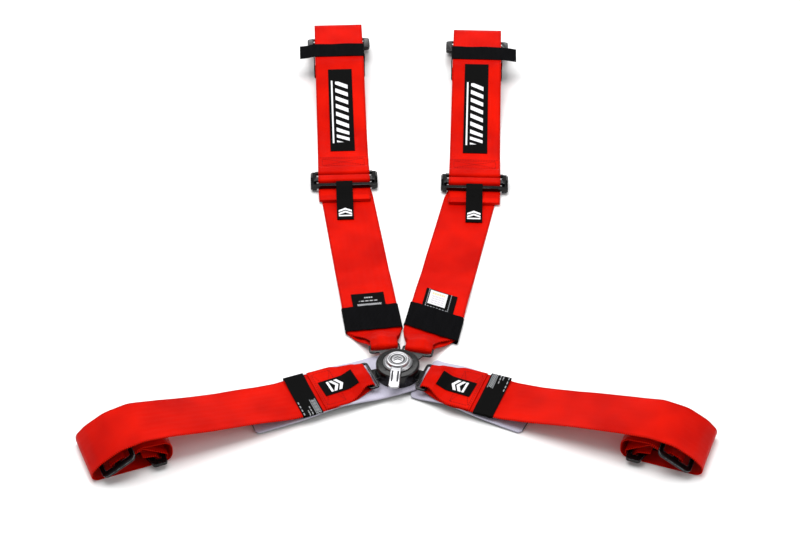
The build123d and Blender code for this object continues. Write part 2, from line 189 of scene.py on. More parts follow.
class Finish:
    """A material made of one Principled shader and the nodes that feed it."""

    def __init__(self, name, **constants):
        self.material = bpy.data.materials.new(name)
        self.material.use_nodes = True
        self.tree = self.material.node_tree
        self.tree.nodes.clear()
        self.shader = self.node("ShaderNodeBsdfPrincipled", values={
            socket_name(word): value for word, value in constants.items()})
        self.node("ShaderNodeOutputMaterial", values={0: self.shader.outputs[0]})

    def node(self, kind, settings=None, values=()):
        """Adds a node: its settings first, then the values or links of its sockets."""
        made = self.tree.nodes.new(kind)
        for setting, value in (settings or {}).items():
            setattr(made, setting, value)
        for key, value in (values.items() if isinstance(values, dict) else enumerate(values)):
            self.join(made.inputs[key], value)
        return made

    def join(self, socket, value):
        value = value.socket if isinstance(value, Value) else value
        if isinstance(value, bpy.types.NodeSocket):
            self.tree.links.new(value, socket)
        else:
            socket.default_value = value

    def maths(self, operation, *values):
        return Value(self, self.node("ShaderNodeMath", {"operation": operation}, values).outputs[0])

    def mix(self, share, first, second):
        """A colour from first, at share 0, to second, at share 1."""
        pair = {6: first, 7: second}
        pair = {key: (*c, 1.0) if isinstance(c, tuple) and len(c) == 3 else c
                for key, c in pair.items()}
        return self.node("ShaderNodeMix", {"data_type": "RGBA"}, {0: share, **pair}).outputs[2]

    def cloth_place(self):
        """mm along the strip and mm across it, in the cloth."""
        found = self.node("ShaderNodeSeparateXYZ",
                          values=[self.node("ShaderNodeUVMap", {"uv_map": "cloth"}).outputs[0]])
        return Value(self, found.outputs[0]) * 1000, Value(self, found.outputs[1]) * 1000

    def object_place(self):
        """x, y and z in mm from the buckle's axis."""
        place = self.node("ShaderNodeTexCoord").outputs["Object"]
        moved = self.node("ShaderNodeVectorMath", {"operation": "SUBTRACT"},
                          [place, tuple(AXIS)]).outputs[0]
        found = self.node("ShaderNodeSeparateXYZ", values=[moved])
        return [Value(self, out) * 1000 for out in found.outputs]

    def speckle(self, x, y, z=0.0, size=1.0, detail=2.0):
        """Uneven patches of about the given size in mm, from 0 to 1."""
        point = self.node("ShaderNodeCombineXYZ", values=[x, y, z]).outputs[0]
        made = self.node("ShaderNodeTexNoise", values={
            "Vector": point, "Scale": 1.0 / size, "Detail": detail, "Roughness": 0.55})
        return Value(self, made.outputs[0])

    def attribute(self, name):
        made = self.node("ShaderNodeAttribute", {"attribute_name": name})
        return Value(self, made.outputs["Fac"])

    def bump(self, height, depth):
        """Raises the surface by depth mm where height is 1."""
        made = self.node("ShaderNodeBump", values={
            "Height": height, "Distance": depth * MM, "Strength": 1.0})
        self.join(self.shader.inputs["Normal"], made.outputs[0])

    def feed(self, **sockets):
        for word, value in sockets.items():
            self.join(self.shader.inputs[socket_name(word)], value)


# ---- finishes ----
def colour(prop):
    return tuple(prop)


def cloth():
    return bpy.context.scene.harness_cloth


def metal():
    return bpy.context.scene.harness_metal


def studio():
    return bpy.context.scene.harness_studio


def red_webbing():
    """Herringbone webbing with a looped selvedge, and light and shade painted into its colour: lit
    raised yarns and lit zones, shaded low yarns and shaded zones, shaded gaps between the selvedge
    loops and a shade line inside each edge.
    """
    f = Finish("red_webbing", specular_ior_level=0.12,
               specular_tint=(1.0, 0.12, 0.02, 1.0))
    u, v = f.cloth_place()
    twill = (u + v.folded(4.7) * 1.6).wave(cloth().weave_pitch)
    picks = u.wave(cloth().weave_pitch * 0.62)
    yarns = v.wave(1.25)
    weave = twill * 0.6 + picks * yarns * 0.4
    fibre = f.speckle(u, v, size=0.8, detail=3.0)
    # Broad patches, about 70 mm across, that paint lit and shaded zones over the cloth.
    patches = f.speckle(u, v, size=70.0, detail=2.0)
    edge = abs(v).ramp(35.6, 36.2)
    loops = u.wave(2.6)
    shade = weave * 0.26 + fibre * 0.26 + patches * 0.48
    # Painted light and shade: the raised yarns and lit zones take the lit red, and the low yarns
    # and shaded zones take the shaded red.
    face = f.mix(shade.ramp(0.26, 0.72), colour(cloth().red_shaded), colour(cloth().red_lit))
    # Painted shade: the gaps between the selvedge loops take the deep edge red.
    rim = f.mix(loops, colour(cloth().red_edge_shade), colour(cloth().red_lit))
    # A painted shade line just inside each edge, in the deep edge red.
    edge_shade_line = abs(abs(v) - 35.3).ramp(0.55, 0.05) * 0.45
    face = f.mix(edge_shade_line, face, colour(cloth().red_edge_shade))
    f.feed(base_color=f.mix(edge, face, rim),
           roughness=0.36 + fibre * 0.12 + (1 - weave) * 0.1 + edge * 0.12)
    f.bump(weave * (1 - edge) + loops * edge * 1.4 + fibre * 0.35, 0.22)
    return f.material


def black_elastic():
    """Ribbed elastic, with the soft creases of a band under light tension."""
    f = Finish("black_elastic", specular_ior_level=0.04)
    u, v = f.cloth_place()
    ribs = u.wave(1.7)
    yarns = v.wave(0.9)
    fibre = f.speckle(u, v, size=0.6, detail=3.0)
    creases = f.speckle(u, v * 0.12, size=5.0, detail=2.0)
    shade = ribs * 0.4 + yarns * 0.15 + fibre * 0.25 + creases * 0.4
    f.feed(base_color=f.mix(shade.ramp(0.25, 0.95), (0.0003, 0.0003, 0.0004),
                            (0.0045, 0.0045, 0.0055)),
           roughness=0.74 + fibre * 0.15)
    f.bump(ribs + yarns * 0.35 + creases * 2.2, 0.28)
    return f.material


def printed(name, marks, ground=0.001, ink=(0.86, 0.86, 0.88)):
    """Black woven tape with pale marks sewn or printed on it."""
    f = Finish(name, specular_ior_level=0.04)
    u, v = f.cloth_place()
    mask = marks(u, v)
    threads = (u + v * 0.5).wave(0.7)
    yarns = (u - v).wave(1.1) * v.wave(0.8)
    fibre = f.speckle(u, v, size=0.7, detail=3.0)
    tape = f.mix(yarns * 0.5 + fibre * 0.5, (ground * 0.6,) * 3, (ground * 2.6,) * 3)
    thread = f.mix(threads * 0.5 + fibre * 0.5, tuple(0.8 * c for c in ink), ink)
    f.feed(base_color=f.mix(mask, tape, thread), roughness=0.52 + fibre * 0.2 - mask * 0.06)
    f.bump(mask * (1.6 + threads * 0.5) + yarns * 0.7 + fibre * 0.3, 0.14)
    return f.material


def chevrons(u, v, at, size):
    """Two nested chevrons and a bar, size mm across, centred at mm along the strip."""
    reach = abs(v)
    bent = u - at - reach * 0.55
    arms = bent.between(-0.42 * size, -0.2 * size) + bent.between(-0.08 * size, 0.14 * size)
    bar = (u - at).between(0.44 * size, 0.6 * size)
    return (arms * (reach < 0.5 * size) + bar * (reach < 0.5 * size)) > 0.5


def tab_marks(u, v):
    return chevrons(u, v, 62.0, 19.0)


def tag_marks(u, v):
    return chevrons(u, v, 26.0, 20.0)


def patch_marks(u, v):
    """A rule beside a row of plain slanted bars."""
    bars = (u - v * 0.5).dashes(15.4, 0.5) * (v + 1.5).between(-9.5, 9.5) * u.between(22.0, 148.0)
    rule = (v - 13.2).between(-1.2, 1.2) * u.between(20.0, 150.0)
    return (bars + rule) > 0.5


def band_marks(round_band, across_band):
    """A hatched strip and three ruled lines on a lap label, whose tape is wound round its
    belt."""
    u, v = BAND_HALF - across_band, round_band - BAND_MIDDLE
    hatch = u.between(3.6, 8.4) * v.between(-27.0, 19.0) * (v + u * 0.8).dashes(3.1, 0.55)
    frame_line = abs(abs(u - 6.0) - 3.4).ramp(0.5, 0.2) * v.between(-28.5, 20.5)
    lines = (u.between(13.2, 14.6) * v.between(-18.0, 10.0) * v.dashes(5.6, 0.7)
             + u.between(17.0, 18.4) * v.between(-10.0, 2.0) * v.dashes(3.9, 0.75)
             + u.between(24.0, 25.4) * v.between(-29.0, 29.0) * v.dashes(7.3, 0.6))
    return (hatch + frame_line + lines) * 0.7


def label_marks(u, v):
    """A hatched strip by the keeper and two short ruled lines on a shoulder label."""
    hatch = u.between(9.6, 13.6) * v.between(-17.0, 16.0) * (v - u * 0.5).dashes(2.7, 0.6)
    lines = (u.between(18.4, 20.2) * v.between(-12.0, 13.0) * v.dashes(6.1, 0.72)
             + u.between(25.0, 27.4) * v.between(-6.0, 5.0) * v.dashes(3.2, 0.7))
    return (hatch + lines) * 0.75


def wide_label_marks(u, v):
    """A thin frame, broken by dots, round the pale patch of the right shoulder label."""
    sides = abs(abs(v - 2.0) - 16.5).ramp(0.9, 0.3) * u.dashes(4.2, 0.7)
    foot = u.between(9.5, 10.8) * v.between(-15.0, 19.0) * v.dashes(4.5, 0.6)
    return (sides + foot) * 0.5


def pale_patch():
    """The white woven patch, with faint coloured rules."""
    f = Finish("white_label", sheen_weight=0.04, roughness=0.6)
    u, v = f.cloth_place()
    fibre = f.speckle(u, v, size=0.7, detail=3.0)
    head = u.between(21.0, 24.5) * abs(v).ramp(9.4, 9.0) * v.dashes(3.4, 0.75)
    rows = (u - 3.0).dashes(4.4, 0.42) * u.between(3.0, 20.0) * abs(v).ramp(9.6, 9.2)
    rows = rows * v.dashes(4.9, 0.8)
    ground = f.mix(fibre, (0.56, 0.56, 0.58), (0.72, 0.72, 0.72))
    ground = f.mix(rows * 0.6, ground, (0.3, 0.24, 0.32))
    f.feed(base_color=f.mix(head * 0.7, ground, (0.75, 0.42, 0.06)))
    f.bump(fibre, 0.06)
    return f.material


def pad_knit():
    """Pale spacer knit with a fine honeycomb."""
    f = Finish("pad_fabric", sheen_weight=0.25, sheen_roughness=0.5,
               sheen_tint=(0.92, 0.9, 1.0, 1.0))
    u, v = f.cloth_place()
    cells = (u + v * 0.577).wave(2.3) * (u - v * 0.577).wave(2.3)
    cells = cells * 0.6 + v.wave(1.33) * 0.4
    fibre = f.speckle(u, v, size=0.9, detail=3.0)
    patches = f.speckle(u, v, size=26.0)
    shade = cells * 0.45 + fibre * 0.25 + patches * 0.3
    f.feed(base_color=f.mix(shade.ramp(0.15, 0.8), colour(cloth().pad_dark),
                            colour(cloth().pad_pale)),
           roughness=0.78 + fibre * 0.14)
    f.bump(cells + fibre * 0.4, 0.3)
    return f.material


def pad_backing():
    """Charcoal felt on the underside of the pads."""
    f = Finish("pad_backing", sheen_weight=0.1)
    u, v = f.cloth_place()
    fibre = f.speckle(u, v, size=0.7, detail=4.0)
    f.feed(base_color=f.mix(fibre, (0.016, 0.018, 0.02), (0.05, 0.054, 0.058)),
           roughness=0.84 + fibre * 0.1)
    f.bump(fibre, 0.2)
    return f.material


def red_thread_painted_shade():
    """Heavy bonded red thread, painted darker than the webbing as the shade in the dents the
    stitches sink into.
    """
    f = Finish("red_thread_painted_shade", specular_ior_level=0.1)
    x, y, z = f.object_place()
    ply = (x + y * 1.3 + z).wave(0.7)
    # Painted shade: both reds of the thread are far darker than the webbing, for the shade of the
    # stitch dents.
    f.feed(base_color=f.mix(ply, (0.07, 0.0005, 0.0005), (0.2, 0.001, 0.001)),
           roughness=0.5 + ply * 0.1)
    f.bump(ply, 0.05)
    return f.material


def black_steel():
    """Black finish on pressed steel, a little worn along the rims."""
    f = Finish("black_steel", coat_roughness=0.12, specular_ior_level=0.16)
    x, y, z = f.object_place()
    wear = f.attribute("wear")
    scuffs = f.speckle(x, y, z, size=2.2, detail=4.0)
    peel = f.speckle(x, y, z, size=0.8, detail=2.0)
    smears = f.speckle(x, y, z, size=14.0, detail=2.0)
    bare = (wear * (scuffs * 1.3 - 0.1)).ramp(0.38, 0.62) * metal().rim_wear
    f.feed(base_color=f.mix(bare, colour(metal().black), (0.5, 0.5, 0.52)),
           metallic=bare, roughness=0.16 + smears * 0.12 + scuffs * 0.05 + bare * 0.12,
           coat_weight=0.14 - bare * 0.1)
    f.bump(peel * 0.6 + scuffs * 0.4, 0.03)
    return f.material


def knurled_steel():
    """The lock bars: black steel with a diamond knurl."""
    f = Finish("knurled_steel", specular_ior_level=0.6)
    x, y, z = f.object_place()
    diamonds = (x + y).wave(1.5) * (x - y).wave(1.5)
    scuffs = f.speckle(x, y, z, size=1.6, detail=4.0)
    bare = (diamonds * scuffs).ramp(0.42, 0.7) * 0.5
    f.feed(base_color=f.mix(bare, (0.016, 0.016, 0.018), (0.4, 0.4, 0.42)),
           metallic=bare, roughness=0.3 + scuffs * 0.15)
    f.bump(diamonds, 0.3)
    return f.material


def black_housing():
    """Black moulded housing with a thin gloss coat and fine handling marks."""
    f = Finish("black_housing", coat_roughness=0.1, specular_ior_level=0.16)
    x, y, z = f.object_place()
    wear = f.attribute("wear")
    marks = f.speckle(x * 0.3, y, z, size=0.9, detail=4.0)
    smears = f.speckle(x, y, z, size=9.0)
    rim = (wear * marks).ramp(0.45, 0.75) * 0.25
    f.feed(base_color=f.mix(rim, colour(metal().black), (0.3, 0.3, 0.31)),
           roughness=0.2 + smears * 0.1 + marks * 0.06, coat_weight=0.26 - rim)
    f.bump(marks * 0.4 + smears * 0.6, 0.02)
    return f.material


def bright_steel():
    """Zinc-plated steel for pins, screws, springs and the spindle."""
    f = Finish("bright_steel")
    x, y, z = f.object_place()
    spangle = f.speckle(x, y, z, size=1.4, detail=4.0)
    f.feed(base_color=f.mix(spangle, (0.42, 0.43, 0.46), (0.66, 0.66, 0.66)),
           metallic=0.92 + spangle * 0.08, roughness=0.24 + spangle * 0.2)
    f.bump(spangle, 0.03)
    return f.material


def silver_lever():
    """Satin cast aluminium, with the grooves in the tab painted dark as their shade."""
    f = Finish("silver_lever", specular_ior_level=0.5)
    x, y, z = f.object_place()
    groove_shade = f.attribute("groove_shade")
    grain = f.speckle(x, y, z, size=0.7, detail=4.0)
    smears = f.speckle(x, y, z, size=7.0)
    radius = f.maths("SQRT", x * x + y * y)
    turned = radius.wave(0.5) * (radius < 20.0)
    # Painted shade: the grooves in the tab take a near-black, duller, less metallic colour.
    dark = groove_shade.ramp(0.2, 0.8)
    face = f.mix(grain * 0.5 + smears * 0.5, colour(metal().silver_dark),
                 colour(metal().silver_bright))
    f.feed(base_color=f.mix(dark, face, (0.03, 0.03, 0.033)), metallic=1 - dark * 0.5,
           roughness=0.24 + smears * 0.1 + grain * 0.08 + dark * 0.3)
    f.bump(grain * 0.6 + turned * 0.3, 0.03)
    return f.material


def badge_face():
    """The lever's badge: brushed silver, a dark ring and a plain double chevron."""
    f = Finish("badge_face")
    x, y, z = f.object_place()
    radius = f.maths("SQRT", x * x + y * y)
    grain = f.speckle(x, y * 0.1, z, size=0.5, detail=3.0)
    smears = f.speckle(x, y, z, size=6.0)
    ring = abs(radius - 8.7).ramp(0.85, 0.55)
    bent = y + abs(x) * 0.6 - 1.6
    arms = bent.between(0.9, 3.0) + bent.between(-2.9, -0.8)
    mark = arms * abs(x).ramp(5.4, 5.1) * (radius < 7.0)
    dark = f.maths("MAXIMUM", ring, mark)
    face = f.mix(grain * 0.6 + smears * 0.4, colour(metal().silver_dark),
                 colour(metal().silver_bright))
    f.feed(base_color=f.mix(dark, face, (0.014, 0.014, 0.016)), metallic=1 - dark,
           roughness=0.26 + grain * 0.14)
    f.bump(grain * 0.3 - dark * 3.0, 0.05)
    return f.material


def pale_floor():
    """Smooth, glossy studio floor."""
    f = Finish("studio_floor", specular_ior_level=1.0)
    x, y, z = f.object_place()
    cloudy = f.speckle(x, y, z, size=420.0)
    shade = colour(studio().floor_colour)
    f.feed(base_color=f.mix(cloudy, tuple(0.985 * c for c in shade), shade),
           roughness=0.12 + cloudy * 0.06)
    return f.material


MAKERS = {
    "red_webbing": red_webbing, "black_elastic": black_elastic, "pad_fabric": pad_knit,
    "pad_backing": pad_backing, "red_thread_painted_shade": red_thread_painted_shade, "black_steel": black_steel,
    "knurled_steel": knurled_steel, "black_housing": black_housing,
    "bright_steel": bright_steel, "silver_lever": silver_lever, "badge_face": badge_face,
    "white_label": pale_patch, "studio_floor": pale_floor,
    "tab_tape": lambda: printed("tab_tape", tab_marks),
    "tag_tape": lambda: printed("tag_tape", tag_marks),
    "patch_tape": lambda: printed("patch_tape", patch_marks),
    "band_tape_turned": lambda: printed("band_tape_turned", band_marks, ink=(0.5, 0.52, 0.54)),
    "label_tape": lambda: printed("label_tape", label_marks, ink=(0.7, 0.71, 0.74)),
    "wide_label_tape": lambda: printed("wide_label_tape", wide_label_marks,
                                       ink=(0.55, 0.57, 0.6)),
}
FINISHES = {}


def finish(name):
    """A material by name, made the first time that it is asked for."""
    if name not in FINISHES:
        FINISHES[name] = MAKERS[name]()
    return FINISHES[name]


# ---- shapes ----
def unit(vector):
    return vector / np.linalg.norm(vector)


def polar(radius, angle):
    return radius * cos(radians(angle)), radius * sin(radians(angle))


def heading_frame(x, y, heading):
    """Turns mm of a belt that leads off from (x, y) into metres of the whole harness."""
    return (Matrix.Translation(AXIS + Vector((x, y, 0)) * MM)
            @ Matrix.Rotation(radians(heading), 4, "Z") @ Matrix.Scale(MM, 4))


def moved(place, points):
    matrix = np.array(place)
    return np.asarray(points, float) @ matrix[:3, :3].T + matrix[:3, 3]


def rounded(route, radii, step=4.0, bend=12.0):
    """Points along a route of straight runs whose corners are turned on their radii."""
    corners = [np.array(p, float) for p in route]
    line = [corners[0]]
    for before, corner, after, radius in zip(corners, corners[1:], corners[2:], radii):
        back, on = unit(before - corner), unit(after - corner)
        inside = acos(max(-1.0, min(1.0, float(back @ on))))
        if pi - inside < 0.002:
            line.append(corner)
            continue
        reach, sweep = radius / tan(inside / 2), pi - inside
        centre = corner + unit(back + on) * radius / sin(inside / 2)
        first, last = corner + back * reach - centre, corner + on * reach - centre
        count = max(2, ceil(degrees(sweep) / bend), ceil(radius * sweep / step))
        for t in np.linspace(0, 1, count + 1):
            line.append(centre + (sin((1 - t) * sweep) * first + sin(t * sweep) * last)
                        / sin(sweep))
    line.append(corners[-1])
    dense = [line[0]]
    for a, b in zip(line, line[1:]):
        length = np.linalg.norm(b - a)
        if length < 1e-4:
            continue
        for t in np.linspace(0, 1, max(1, ceil(length / step)) + 1)[1:]:
            dense.append(a + (b - a) * t)
    return np.array(dense)


def carried_over(place, way):
    """A direction of a belt's own frame, in the whole harness."""
    return np.array(place)[:3, :3] @ way


def run_along(place, line):
    """Middle points and sideways directions of a strip that lies along a belt."""
    centres = moved(place, np.column_stack([line[:, 0], 0 * line[:, 0], line[:, 1]]))
    side = unit(carried_over(place, (0, 1, 0)))
    return centres, np.tile(side, (len(line), 1))


def run_across(place, middle, lean, line):
    """The same for a strip that goes round a belt, as (y, z) points, askew by a lean."""
    x = middle + line[:, 0] * lean
    centres = moved(place, np.column_stack([x, line[:, 0], line[:, 1]]))
    side = unit(carried_over(place, (-1, 0, 0)))
    return centres, np.tile(side, (len(line), 1))


def columns(half, count, edge=1.3):
    """Places across a strip from -1 to 1, close together at its two edges, and how thick
    the strip is at each."""
    rim = np.array([0.0, 0.25, 0.6, 1.0]) * edge / half
    middle = np.linspace(-1 + rim[-1], 1 - rim[-1], count)
    places = np.concatenate([-1 + rim[:-1], middle, 1 - rim[:-1][::-1]])
    thick = np.concatenate([[0.34, 0.72, 0.94], np.ones(count), [0.94, 0.72, 0.34]])
    return places, thick


def strip(name, centres, sides, left, right, thick, lift=None, relief=None, count=22,
          edge=1.3, backing=False, groove_shade=None):
    """A closed strip of cloth or sheet metal about a middle line. left, right: half widths in
    mm at each point; lift: mm that the strip stands off its line; relief: mm taken from its
    upper face. The last two are functions of the point's number and the mm across."""
    n = len(centres)
    left, right = np.broadcast_to(left, n), np.broadcast_to(right, n)
    flat = max(left.max(), right.max())
    places, share = columns(flat, count, edge)
    y = np.where(places[None] > 0, places[None] * left[:, None], places[None] * right[:, None])
    ahead = np.gradient(centres, axis=0)
    ahead /= np.linalg.norm(ahead, axis=1)[:, None]
    out = np.cross(ahead, sides)
    rows = np.arange(n)[:, None] + 0 * y
    raised = lift(rows, y) if lift else 0 * y
    middle = (centres[:, None] + sides[:, None] * (y * MM)[..., None]
              + out[:, None] * (raised * MM)[..., None])
    normal = np.cross(np.gradient(middle, axis=0), np.gradient(middle, axis=1))
    normal /= np.linalg.norm(normal, axis=2)[..., None]
    half = (thick / 2 * MM * share)[None, :, None] * normal
    cut = (relief(rows, y) * MM)[..., None] * normal if relief else 0
    along = np.concatenate([[0], np.cumsum(np.linalg.norm(np.diff(centres, axis=0), axis=1))])
    m = len(places)
    points = np.concatenate([(middle + half - cut).reshape(-1, 3),
                             (middle - half).reshape(-1, 3)])
    u = np.tile(np.repeat(along, m), 2)
    v = np.tile(places * flat * MM, 2 * n)
    top = np.arange(n * m).reshape(n, m)
    low = top + n * m

    def quads(grid):
        return np.stack([grid[:-1, :-1], grid[1:, :-1], grid[1:, 1:], grid[:-1, 1:]], -1)

    faces = [quads(top).reshape(-1, 4), quads(low)[..., ::-1].reshape(-1, 4)]
    for column, flip in ((0, 1), (-1, -1)):
        edge_grid = np.stack([low[:, column], top[:, column]], 1)
        faces.append(quads(edge_grid)[..., ::flip].reshape(-1, 4))
    for row, flip in ((0, -1), (-1, 1)):
        end_grid = np.stack([low[row], top[row]], 1)
        faces.append(quads(end_grid)[..., ::flip].reshape(-1, 4))
    sizes = [len(f) for f in faces]
    faces = np.concatenate(faces)
    mesh = bpy.data.meshes.new(name)
    mesh.from_pydata(points.tolist(), [], faces.tolist())
    uv = mesh.uv_layers.new(name="cloth")
    corner = np.empty(len(mesh.loops), int)
    mesh.loops.foreach_get("vertex_index", corner)
    uv.data.foreach_set("uv", np.stack([u[corner], v[corner]], 1).ravel())
    # A mask kept as a point attribute, which the silver finish paints dark as the shade in grooves.
    if groove_shade:
        marked = groove_shade(rows, y).ravel()
        layer = mesh.attributes.new("groove_shade", "FLOAT", "POINT")
        layer.data.foreach_set("value", np.concatenate([marked, 0 * marked]))
    if backing:
        mesh.polygons.foreach_set("material_index",
                                  np.repeat([0, 1, 0, 0, 1, 1], sizes).astype(np.int32))
    return shown(name, mesh, 50), along[-1]


def meshed(name, work):
    """Ends the work on a shape and keeps it as a mesh."""
    mesh = bpy.data.meshes.new(name)
    work.to_mesh(mesh)
    work.free()
    return mesh


def shown(name, mesh, sharp):
    """Puts a mesh in the scene, smooth except where its faces turn by more than sharp."""
    work = bmesh.new()
    work.from_mesh(mesh)
    bmesh.ops.recalc_face_normals(work, faces=work.faces)
    work.to_mesh(mesh)
    work.free()
    mesh.shade_smooth()
    mesh.set_sharp_from_angle(angle=radians(sharp))
    obj = bpy.data.objects.new(name, mesh)
    bpy.context.scene.collection.objects.link(obj)
    return obj


def dressed(obj, slot, look, *nodes, seat=True):
    """Gives a piece its finish, seats it on the body of the parts it stands for and hides
    those."""
    for name in ([look] if isinstance(look, str) else look):
        obj.data.materials.append(finish(name))
    if seat:
        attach(obj, frame["nodes"][nodes[0]]["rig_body"])
    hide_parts(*nodes)
    return obj


def eased(node, name, look, slot, width=None):
    """Stands for a hard part: the same shape with its rims rounded over and marked for
    wear."""
    width = (metal().rim if width is None else width) * MM
    work = bmesh.new()
    work.from_mesh(frame["nodes"][node].data)
    bmesh.ops.remove_doubles(work, verts=work.verts, dist=2e-6)
    bmesh.ops.dissolve_limit(work, angle_limit=radians(0.6), verts=work.verts,
                             edges=work.edges)
    for face in work.faces:
        face.material_index = 0
    rims = [e for e in work.edges if e.is_manifold and e.is_convex
            and e.calc_face_angle() > radians(38)]
    bmesh.ops.bevel(work, geom=rims, offset=width, offset_type="OFFSET", segments=2,
                    profile=0.6, affect="EDGES", clamp_overlap=True, material=1,
                    loop_slide=True)
    bmesh.ops.dissolve_degenerate(work, dist=1e-6, edges=work.edges)
    mesh = meshed(name, work)
    worn = np.empty(len(mesh.polygons), np.int32)
    sizes = np.empty(len(mesh.polygons), np.int32)
    mesh.polygons.foreach_get("material_index", worn)
    mesh.polygons.foreach_get("loop_total", sizes)
    layer = mesh.attributes.new("wear", "FLOAT", "CORNER")
    layer.data.foreach_set("value", np.repeat(worn, sizes).astype(float))
    mesh.polygons.foreach_set("material_index", 0 * worn)
    obj = shown(name, mesh, 28)
    return dressed(obj, slot, look, node)


def lathe(name, profile, base, sharp, count=96):
    """A solid turned about the buckle's axis from (radius, height above base) points."""
    ring = np.array(profile, float) + (0, base)
    angles = np.linspace(0, 2 * pi, count, endpoint=False)
    points = np.stack([np.outer(np.cos(angles), ring[:, 0]), np.outer(np.sin(angles), ring[:, 0]),
                       np.tile(ring[:, 1], (count, 1))], -1)
    grid = np.arange(count * len(ring)).reshape(count, -1)
    on, beside = np.roll(grid, -1, 0), np.roll(grid, -1, 1)
    faces = np.stack([grid, on, np.roll(on, -1, 1), beside], -1).reshape(-1, 4)
    work = bmesh.new()
    made = [work.verts.new(p) for p in points.reshape(-1, 3) * MM + np.array(AXIS)]
    for face in faces:
        work.faces.new([made[k] for k in face])
    bmesh.ops.remove_doubles(work, verts=work.verts, dist=1e-6)
    return shown(name, meshed(name, work), sharp)


def stitches(name, runs, place, height, node, length=2.7, pitch=3.9):
    """Thread laid along runs of (x, y) points on a sewn flap: one small loop to a stitch."""
    work = bmesh.new()
    matrix = np.array(place)
    for start, end in runs:
        a, b = np.array(start, float), np.array(end, float)
        total = np.linalg.norm(b - a)
        way = (b - a) / total
        for middle in np.arange(pitch / 2, total, pitch):
            rings = []
            for t, fat in ((-0.5, 0.3), (-0.3, 0.85), (0.0, 1.0), (0.3, 0.85), (0.5, 0.3)):
                centre = a + way * (middle + t * length)
                ring = []
                for k in range(6):
                    turn = 2 * pi * k / 6
                    off = np.array([-way[1], way[0]]) * cos(turn) * 0.42 * fat
                    z = height + sin(turn) * 0.3 * fat - (0.14 if abs(t) > 0.4 else 0)
                    local = np.array([*(centre + off), z])
                    ring.append(work.verts.new(matrix[:3, :3] @ local + matrix[:3, 3]))
                rings.append(ring)
            for r0, r1 in zip(rings, rings[1:]):
                for k in range(6):
                    work.faces.new((r0[k], r0[k - 1], r1[k - 1], r1[k]))
            work.faces.new(rings[0])
            work.faces.new(rings[-1][::-1])
    obj = shown(name, meshed(name, work), 60)
    # The thread's finish is painted dark, as the shade of the stitch dents.
    obj.data.materials.append(finish("red_thread_painted_shade"))
    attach(obj, frame["nodes"][node]["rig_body"])
    return obj


def box_cross(x0, x1, y0, y1):
    """Runs of stitching round a box and from corner to corner."""
    corners = [(x0, y0), (x1, y0), (x1, y1), (x0, y1)]
    return [*zip(corners, corners[1:] + corners[:1]),
            ((x0, y0), (x1, y1)), ((x0, y1), (x1, y0))]


# ---- belts ----
def slide_points(x, z, tilt, pairs):
    """Points of a slide's own frame, (along, above), in its belt's frame."""
    c, s = cos(radians(tilt)), sin(radians(tilt))
    return [(x + u * c + w * s, z - u * s + w * c) for u, w in pairs]


def lap_route(length):
    """A lap belt: sewn flap, turn round the tongue's bar, run, and rolled end."""
    start = length - LAP_BUNDLE
    end = LAP_BUNDLE - 6.5
    head = [(67, 12.9), (26, 12.9), (10, 18.1), (-5.2, 18.1), (-5.2, 10.9), (108, 10.9),
            (start - 4, 38.8)]
    turns = [(34, LAP_BUNDLE_H), (66, 38.4), (92, 25.5), (end, 14), (end, 0.8), (0, 0.8), (0, 30)]
    turns += slide_points(*LAP_SLIDE, [(-34, -2.6), (-12, -2.6), (-9, 2.7), (9, 2.7),
                                       (11, -4.9), (-34, -4.9)])
    turns += [(6.6, 12.6), (6.6, 4.6), (16.2, 4.6), (21, 13.6), (38, 17)]
    radii = [10, 8, 3.5, 3.5, 60, 60, 60, 40, 30, 10, 8.5, 12, 12, 8, 2, 2, 2, 2, 6, 2.6, 2.6,
             2.5, 2.5]
    return head + [(start + x, z) for x, z in turns], radii


def upper_route(side):
    """A shoulder's upper belt: flap, loop round the adjuster's bar, run, rise, rolled end."""
    end = SHOULDERS[side]["bundle"]
    start = SHOULDERS[side]["length"] - end
    head = [(58, 2.6), (34, 2.6), (23, 10.2), (8.8, 10.2), (8.8, 1.8), (24, 1.8), (36, 0.8),
            (125, 0.8), (start - 10, TOP_BUNDLE_H)]
    turns = [(end, TOP_BUNDLE_H), (end, 2.4), (2, 2.4), (2, 27)]
    turns += slide_points(*TOP_SLIDE, [(-34, -2.6), (-12, -2.6), (-9, 2.7), (9, 2.7),
                                       (12, -2.7), (20, -2.7)])
    turns += [(93.9, 12.7), (93.9, 4.5), (84.4, 4.5), (79.6, 12.6), (58, 12.6)]
    radii = [8, 8, 4.15, 4.15, 12, 12, 60, 60, 22, 12, 11, 11, 8, 2, 2, 2, 2, 2, 2.6, 2.6,
             2.5, 2.5]
    return head + [(start + x, z) for x, z in turns], radii


def leading(start, end):
    """The frame of a belt from one (x, y) to another, and the length between them."""
    run = Vector((end[0] - start[0], end[1] - start[1]))
    return heading_frame(*start, degrees(np.arctan2(run.y, run.x))), run.length


def lap_frame(side):
    s = LAPS[side]
    return leading(polar(LAP_BAR_AT, s["tongue"]), s["end"])


def shoulder_frames(side):
    """The lower belt's frame, its length to the adjuster, and the upper belt's frame."""
    s = SHOULDERS[side]
    low, run = leading(polar(SHOULDER_BAR_AT, s["from"]), s["adjuster"])
    return low, run, heading_frame(*s["adjuster"], s["upper"])


def lap_crown(x, y):
    """How far the bunched webbing stands up over a lap tongue's bar, in mm."""
    return 2.6 * np.exp(-((x - 8) / 13) ** 2) * np.clip(1 - (y / 27) ** 2, 0, 1)


def ripple(s, y, height, seed):
    """Slow unevenness of cloth that lies on a floor, from 0 to height."""
    wave = (np.sin(s / 47 + seed) * np.cos(y / 31 + seed * 2)
            + 0.6 * np.sin(s / 21 + y / 19 + seed * 3))
    return height * (wave + 1.6) / 3.2


